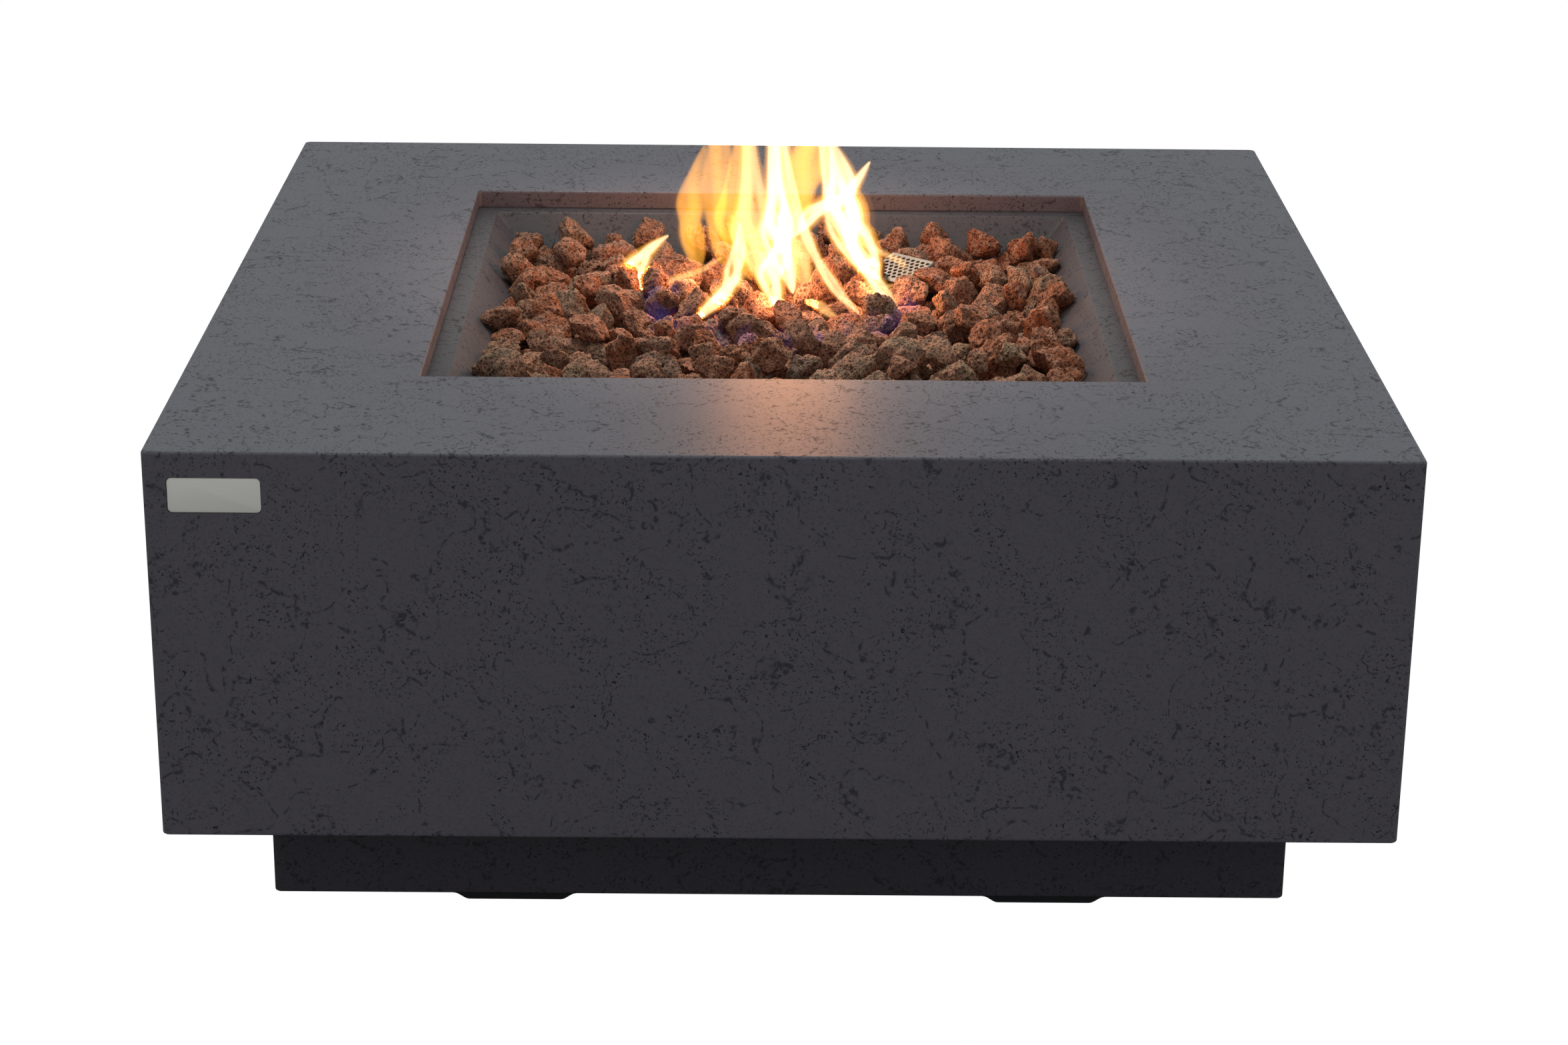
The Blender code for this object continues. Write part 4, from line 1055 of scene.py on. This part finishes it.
fit_piece(screws, "table", "zinc_plated_steel", zinc, "panel_screw_1", "panel_screw_2", "panel_screw_3",
          "panel_screw_4")


# ---- Gas valve --------------------------------------------------------------------
# A brass valve behind the plate. Its sprung plunger is pushed in to light the pilot,
# and the plated stem turns in the plunger and carries the knob.
paint_nodes(brass, "gas_valve", "valve_plunger")
paint_nodes(zinc, "valve_stem")
bezel_profile = [(0.0097, 0.0003), (0.0270, 0.0003), (0.0270, 0.0014), (0.0266, 0.0021), (0.0255, 0.0028),
                 (0.0240, 0.0033), (0.0225, 0.0033), (0.0215, 0.0029), (0.0120, 0.0029), (0.0110, 0.0033),
                 (0.0097, 0.0033)]
bezel = turned("dished_bezel", bezel_profile, knob_middle, 64, ring=True)
fit_piece(bezel, "table", "brushed_stainless", stainless, "knob_bezel")


# ---- Knob -------------------------------------------------------------------------
# Moulded black knob: a low fluted skirt under a straight grip bar, pressed on the
# stem, with a white line let into the pointing end.
knob_back = knob_low.x - plate_front
knob_front = knob_high.x - plate_front
skirt_front = knob_back + 0.0075
skirt = [(0.0, knob_back), (0.0190, knob_back), (0.0196, knob_back + 0.0006), (0.0192, skirt_front - 0.0018),
         (0.0182, skirt_front - 0.0006), (0.0168, skirt_front), (0.0, skirt_front)]
moulded_knob = turned("moulded_knob", skirt, knob_middle, 64)
bar = [(skirt_front - 0.0015, 0.0057, 0.0165), (knob_front - 0.0022, 0.0049, 0.0160),
       (knob_front - 0.0008, 0.0044, 0.0155), (knob_front, 0.0034, 0.0145)]
bar_levels = [(plate_front + out, across, along, 0.0030) for out, across, along in bar]
carve(moulded_knob, side_form("grip_bar", bar_levels, knob_middle), "UNION")
stem_hole = 0.0037
carve(moulded_knob, turned("stem_form", plug(stem_hole, -cut_past, 0.0200), knob_middle, 24))
settle(moulded_knob)
black_plastic = two_tone("black_plastic", {"Specular IOR Level": 0.5}, (45.0, 3.0),
                         (0.011, 0.011, 0.012), (0.024, 0.024, 0.025), 0.36, 0.20,
                         (1700.0, 2.0, 0.00005))


def fluting(name, ribs, radius, thickness, length, middle):
    """Fine ribs round a part that is turned by hand, along its axis in X."""
    sizes = {"Ribs": ribs, "Radius": radius, "Thickness": thickness, "Length": length}
    layout = Recipe(f"{name}_layout", sizes)
    ring_points = layout.node("GeometryNodeMeshCircle", {}, {
        "Vertices": layout.size("Ribs"), "Radius": layout.size("Radius")})
    rib = layout.node("GeometryNodeMeshCylinder", {}, {
        "Vertices": 8, "Radius": layout.size("Thickness"), "Depth": layout.size("Length")})
    upright_ribs = layout.on_points(ring_points, rib)
    laid_over = layout.node("GeometryNodeTransform", {}, {
        "Geometry": upright_ribs, "Rotation": (0.0, math.pi / 2.0, 0.0)})
    made = scatter(name, [(0.0, 0.0, 0.0)])
    layout.run(made, laid_over, black_plastic)
    made.data.transform(Matrix.Translation(middle))
    return made


flute_middle = Vector((plate_front + knob_back + 0.0032, knob_middle.y, knob_middle.z))
knob_flutes = fluting("knob_flutes", 30, 0.01945, 0.0007, 0.0046, flute_middle)
fit_piece(knob_flutes, "knob", "black_plastic", black_plastic)
fit_piece(moulded_knob, "knob", "black_plastic", black_plastic, "control_knob")
pointer_levels = [(plate_front + knob_front - 0.0010, 0.0006, 0.0035, 0.0003),
                  (plate_front + knob_front + 0.00012, 0.0006, 0.0035, 0.0003)]
pointer = side_form("knob_pointer", pointer_levels, knob_middle + Vector((0.0, 0.0, 0.0100)))
pointer_white = two_tone("pointer_white", {"Specular IOR Level": 0.5}, (500.0, 3.0), (0.78, 0.78, 0.76),
                         (0.58, 0.57, 0.54), 0.40, 0.2)
fit_piece(pointer, "knob", "black_plastic", pointer_white)


# ---- Igniter ----------------------------------------------------------------------
# A black housing through the plate, held by a nut behind it, with a spring and an
# AA cell inside. The ribbed cap screws on over the cell, and its button makes the spark.
paint_nodes(black_plastic, "igniter_body", "igniter_nut")
paint_nodes(zinc, "igniter_spring")
battery_film = two_tone("battery_film", {"Specular IOR Level": 0.6, "Coat Weight": 0.5}, (80.0, 2.0),
                        (0.030, 0.075, 0.050), (0.060, 0.130, 0.090), 0.22, 0.15)
paint_nodes(battery_film, "battery")
cap_profile = [(0.0108, 0.0026), (0.0128, 0.0026), (0.0131, 0.0030), (0.0131, 0.0146), (0.0127, 0.0155),
               (0.0118, 0.0160), (0.0074, 0.0160), (0.0069, 0.0156), (0.0069, 0.0130), (0.0090, 0.0130),
               (0.0090, 0.0070), (0.0108, 0.0070)]
cap = turned("ribbed_cap", cap_profile, igniter_middle, 64, ring=True)
fit_piece(cap, "igniter_cap", "black_plastic", black_plastic, "igniter_cap")
rib_middle = Vector((plate_front + 0.0088, igniter_middle.y, igniter_middle.z))
cap_ribs = fluting("cap_ribs", 26, 0.0130, 0.0005, 0.0105, rib_middle)
fit_piece(cap_ribs, "igniter_cap", "black_plastic", black_plastic)
stem_profile = [(0.0, 0.0045), (0.0040, 0.0045), (0.0040, 0.0108), (0.0084, 0.0108), (0.0084, 0.0127),
                (0.0064, 0.0127), (0.0064, 0.0190), (0.0060, 0.0198), (0.0050, 0.0202), (0.0030, 0.0200),
                (0.0, 0.0198)]
button = turned("domed_button", stem_profile, igniter_middle, 48)
fit_piece(button, "igniter_button", "black_plastic", black_plastic, "igniter_button")


# ---- Gas inlet --------------------------------------------------------------------
# A turned brass fitting, held by its bracket behind the notch in the rear of the plinth.
# The flare nut of the gas hose screws on to it.
paint_nodes(brass, "gas_inlet_fitting")


# ---- Flames -----------------------------------------------------------------------
# Yellow gas flames that lick up between the rocks from the ring. They are light, not a
# piece of the table, so they are set aside with the floor.
# Each tongue: how far back it stands, its width, its heat, and its path in x and z.
tongues = [
    (0.081, 0.010, 0.9, [(-0.122, 0.350), (-0.128, 0.370), (-0.116, 0.386), (-0.097, 0.400)]),
    (0.071, 0.0045, 0.7, [(-0.122, 0.354), (-0.093, 0.363), (-0.070, 0.372), (-0.050, 0.384)]),
    (0.150, 0.012, 0.3, [(-0.072, 0.350), (-0.082, 0.390), (-0.078, 0.418), (-0.068, 0.462)]),
    (0.150, 0.011, 0.3, [(-0.050, 0.352), (-0.060, 0.400), (-0.055, 0.450), (-0.060, 0.560)]),
    (0.110, 0.011, 0.3, [(-0.026, 0.352), (-0.044, 0.395), (-0.040, 0.440), (-0.028, 0.550)]),
    (0.001, 0.010, 1.0, [(-0.072, 0.348), (-0.049, 0.374), (-0.038, 0.397), (-0.036, 0.434)]),
    (0.015, 0.012, 1.0, [(-0.004, 0.350), (-0.008, 0.382), (-0.003, 0.408), (0.000, 0.452)]),
    (0.068, 0.015, 0.6, [(-0.013, 0.352), (-0.025, 0.396), (-0.028, 0.437), (-0.034, 0.560)]),
    (0.069, 0.015, 0.9, [(0.010, 0.352), (-0.002, 0.400), (-0.008, 0.443), (-0.006, 0.580)]),
    (0.060, 0.011, 0.7, [(0.022, 0.352), (0.017, 0.385), (0.004, 0.420), (0.000, 0.460), (0.008, 0.560)]),
    (0.110, 0.016, 0.3, [(0.004, 0.390), (0.018, 0.440), (0.026, 0.490), (0.018, 0.590)]),
    (0.018, 0.010, 1.0, [(0.098, 0.350), (0.076, 0.380), (0.053, 0.412), (0.040, 0.452), (0.026, 0.530)]),
    (0.090, 0.018, 0.9, [(0.084, 0.356), (0.064, 0.392), (0.055, 0.420), (0.052, 0.446), (0.038, 0.486)]),
    (0.060, 0.011, 0.9, [(0.008, 0.404), (0.030, 0.428), (0.052, 0.442), (0.074, 0.472)]),
    (0.017, 0.006, 0.8, [(0.066, 0.350), (0.043, 0.374), (0.026, 0.403), (0.012, 0.445), (-0.005, 0.520)]),
    (0.120, 0.004, 0.7, [(0.058, 0.392), (0.080, 0.378), (0.104, 0.366), (0.114, 0.350)]),
    (0.090, 0.004, 0.7, [(0.090, 0.354), (0.108, 0.352), (0.124, 0.346)]),
    (0.010, 0.005, 0.7, [(0.018, 0.356), (0.026, 0.362), (0.040, 0.352), (0.050, 0.346)]),
]
blue_feet = []
for step in range(16):
    angle = math.radians(150.0 + 15.0 * step)
    x = 0.9 * ring_radius * math.cos(angle)
    tip = 0.378 + 0.006 * math.sin(5.0 * angle)
    path = [(x, 0.340), (x + 0.004, 0.352), (x - 0.003, 0.364), (x, tip)]
    blue_feet.append((0.8 * ring_radius * math.sin(angle), 0.008, 0.0, path))
strands = ((0.0, 0.80, 0.0), (-0.55, 0.50, 1.3), (0.50, 0.55, 2.9), (0.15, 0.35, 4.4))


def licking_path(path, width, sideways, phase, steps=28):
    """Points of one strand along a smooth curve through a tongue's own points."""
    knots = [path[0]] + list(path) + [path[-1]]
    spots = []
    for step in range(steps + 1):
        run = step / steps * (len(path) - 1)
        span = min(int(run), len(path) - 2)
        t = run - span
        a, b, c, d = (Vector(knot) for knot in knots[span:span + 4])
        bend = (2.0 * a - 5.0 * b + 4.0 * c - d) * t * t + (3.0 * b - a - 3.0 * c + d) * t ** 3
        x, z = 0.5 * (2.0 * b + (c - a) * t + bend)
        rise = step / steps
        belly = math.sin(math.pi * rise ** 0.85)
        waver = 0.35 * math.sin(9.0 * rise + phase + 40.0 * path[0][0]) * belly
        spots.append((x + width * (sideways * belly + waver), z, belly))
    return spots


def flame(name, burning, swell, power, color, coolest):
    """One skin of glowing gas round every tongue that is hot enough to reach this color."""
    trace = bpy.data.curves.new(name, "CURVE")
    trace.dimensions = "3D"
    trace.bevel_depth = 1.0
    trace.bevel_resolution = 4
    trace.use_fill_caps = True
    for depth, width, heat, path in burning:
        for sideways, share, phase in strands:
            if heat < coolest:
                continue
            spots = licking_path(path, width, sideways, phase)
            spline = trace.splines.new("POLY")
            spline.points.add(len(spots) - 1)
            for point, (x, z, belly) in zip(spline.points, spots):
                point.co = (x, depth + 0.3 * sideways * width, z, 1.0)
                point.radius = swell * share * width * max(belly, 0.0) ** 0.8 + 0.0007
    ribbon = stand(name, trace)
    skin = bpy.data.meshes.new_from_object(ribbon.evaluated_get(bpy.context.evaluated_depsgraph_get()))
    bpy.data.objects.remove(ribbon)
    glow = stand(name, skin)
    merge = glow.modifiers.new("merge", "REMESH")
    merge.mode = "VOXEL"
    merge.voxel_size = 0.0013
    settle(glow)
    gas = bpy.data.materials.new(name)
    gas.use_nodes = True
    tree = gas.node_tree
    tree.nodes.remove(tree.nodes["Principled BSDF"])
    light = tree.nodes.new("ShaderNodeEmission")
    light.inputs["Color"].default_value = (*color, 1.0)
    light.inputs["Strength"].default_value = power
    tree.links.new(light.outputs[0], tree.nodes["Material Output"].inputs["Volume"])
    paint(glow, gas)
    glow.visible_diffuse = False
    glow.visible_shadow = False


flame("flame_veil", tongues, 1.25, 4.0, (1.0, 0.36, 0.04), 0.0)
flame("flame_outer", tongues, 0.95, 36.0, (1.0, 0.42, 0.045), 0.0)
cooler = [tongue for tongue in tongues if tongue[2] < 0.4]
flame("flame_amber", cooler, 0.75, 38.0, (1.0, 0.40, 0.03), 0.0)
flame("flame_middle", tongues, 0.74, 22.0, (1.0, 0.52, 0.15), 0.4)
flame("flame_inner", tongues, 0.54, 55.0, (1.0, 0.66, 0.32), 0.6)
flame("flame_core", tongues, 0.37, 100.0, (1.0, 0.86, 0.58), 0.8)
flame("flame_blue", blue_feet, 1.0, 2.0, (0.12, 0.13, 1.0), 0.0)


# ---- Studio -----------------------------------------------------------------------
# A pale floor, one wide soft light overhead, a narrow beam on the rocks, weak light
# from all round, and the warm light of the flames on the rocks and the basin. A dark
# sheet on the floor inside the plinth is painted shadow under the table.


def sheet_of(name, half_size, height):
    """A flat square on the studio's ground."""
    bm = bmesh.new()
    bmesh.ops.create_grid(bm, x_segments=2, y_segments=2, size=half_size)
    laid_flat = wrap(bm, name)
    laid_flat.data.transform(Matrix.Translation((0.0, 0.0, height)))
    return laid_flat


floor = sheet_of("studio_floor", 9.0, 0.0)
pale = bpy.data.materials.new("studio_floor")
pale.use_nodes = True
board_floor = Board(pale.node_tree)
seen = board_floor.node("ShaderNodeLightPath", {}, {}, "Is Camera Ray")
bright = board_floor.node("ShaderNodeEmission", {}, {"Color": (1.0, 1.0, 1.0), "Strength": 1.0})
dim = board_floor.node("ShaderNodeBsdfDiffuse", {}, {"Color": (0.22, 0.22, 0.23)})
floor_mix = board_floor.node("ShaderNodeMixShader", {}, {0: seen, 1: dim, 2: bright})
board_floor.feed(pale.node_tree.nodes["Material Output"].inputs["Surface"], floor_mix)
paint(floor, pale)
# Painted shadow: a dark sheet inside the plinth stands for the floor in the table's own shade.
floor_shade = sheet_of("floor_shade", plinth_inner - 0.004, 0.0008)
paint(floor_shade, Finish("floor_shade", {"Base Color": (0.20, 0.20, 0.21), "Roughness": 0.9}).material)

world = bpy.data.worlds.new("studio")
world.use_nodes = True
bpy.context.scene.world = world
sky = Board(world.node_tree)
seen = sky.node("ShaderNodeLightPath", {}, {}, "Is Camera Ray")
backdrop = sky.node("ShaderNodeBackground", {}, {"Color": (1.0, 1.0, 1.0), "Strength": 1.0})
way = sky.node("ShaderNodeSeparateXYZ", {}, {0: sky.node("ShaderNodeTexCoord", {}, {}, "Generated")}, "Y")
behind = sky.node("ShaderNodeMapRange", {"interpolation_type": "SMOOTHSTEP"},
                  {"Value": way, "From Min": 0.1, "From Max": 0.9})
glimmer = 0.49 + 0.06 * behind
ambient = sky.node("ShaderNodeBackground", {}, {"Color": (0.90, 0.97, 1.0), "Strength": glimmer})
sky_mix = sky.node("ShaderNodeMixShader", {}, {0: seen, 1: ambient, 2: backdrop})
sky.feed(world.node_tree.nodes["World Output"].inputs["Surface"], sky_mix)


def lamp(name, kind, power, color):
    """A light that isn't hung yet."""
    made = bpy.data.lights.new(name, kind)
    made.energy = power
    made.color = color
    return made


def hang(light, spot, aim):
    """Hang a light at a spot and turn it to face a point."""
    facing = (Vector(aim) - Vector(spot)).to_track_quat("-Z", "Y")
    stand(light.name, light).matrix_world = Matrix.Translation(spot) @ facing.to_matrix().to_4x4()


overhead = lamp("overhead", "AREA", 14.0, (0.72, 1.0, 0.95))
overhead.size = 2.6
hang(overhead, (0.0, 0.4, 2.9), (0.0, 0.0, 0.3))
beam = lamp("rock_beam", "SPOT", 85.0, (1.0, 0.93, 0.84))
beam.spot_size = math.radians(20.0)
beam.spot_blend = 0.5
beam.shadow_soft_size = 0.10
hang(beam, (-0.35, 0.75, 1.95), (0.0, 0.0, 0.350))

fires = (
    ("fire_left", (-0.078, 0.060, 0.372), 0.30, (1.0, 0.50, 0.24)),
    ("fire_middle", (-0.005, 0.020, 0.372), 0.42, (1.0, 0.50, 0.24)),
    ("fire_right", (0.075, 0.040, 0.372), 0.36, (1.0, 0.50, 0.24)),
    ("fire_back", (0.000, 0.130, 0.372), 0.40, (1.0, 0.50, 0.24)),
    ("fire_top", (0.005, 0.060, 0.505), 0.90, (1.0, 0.32, 0.08)),
)
for name, spot, power, color in fires:
    ember = lamp(name, "POINT", power, color)
    ember.shadow_soft_size = 0.02 if power < 0.5 else 0.06
    hang(ember, spot, (spot[0], spot[1], 0.0))
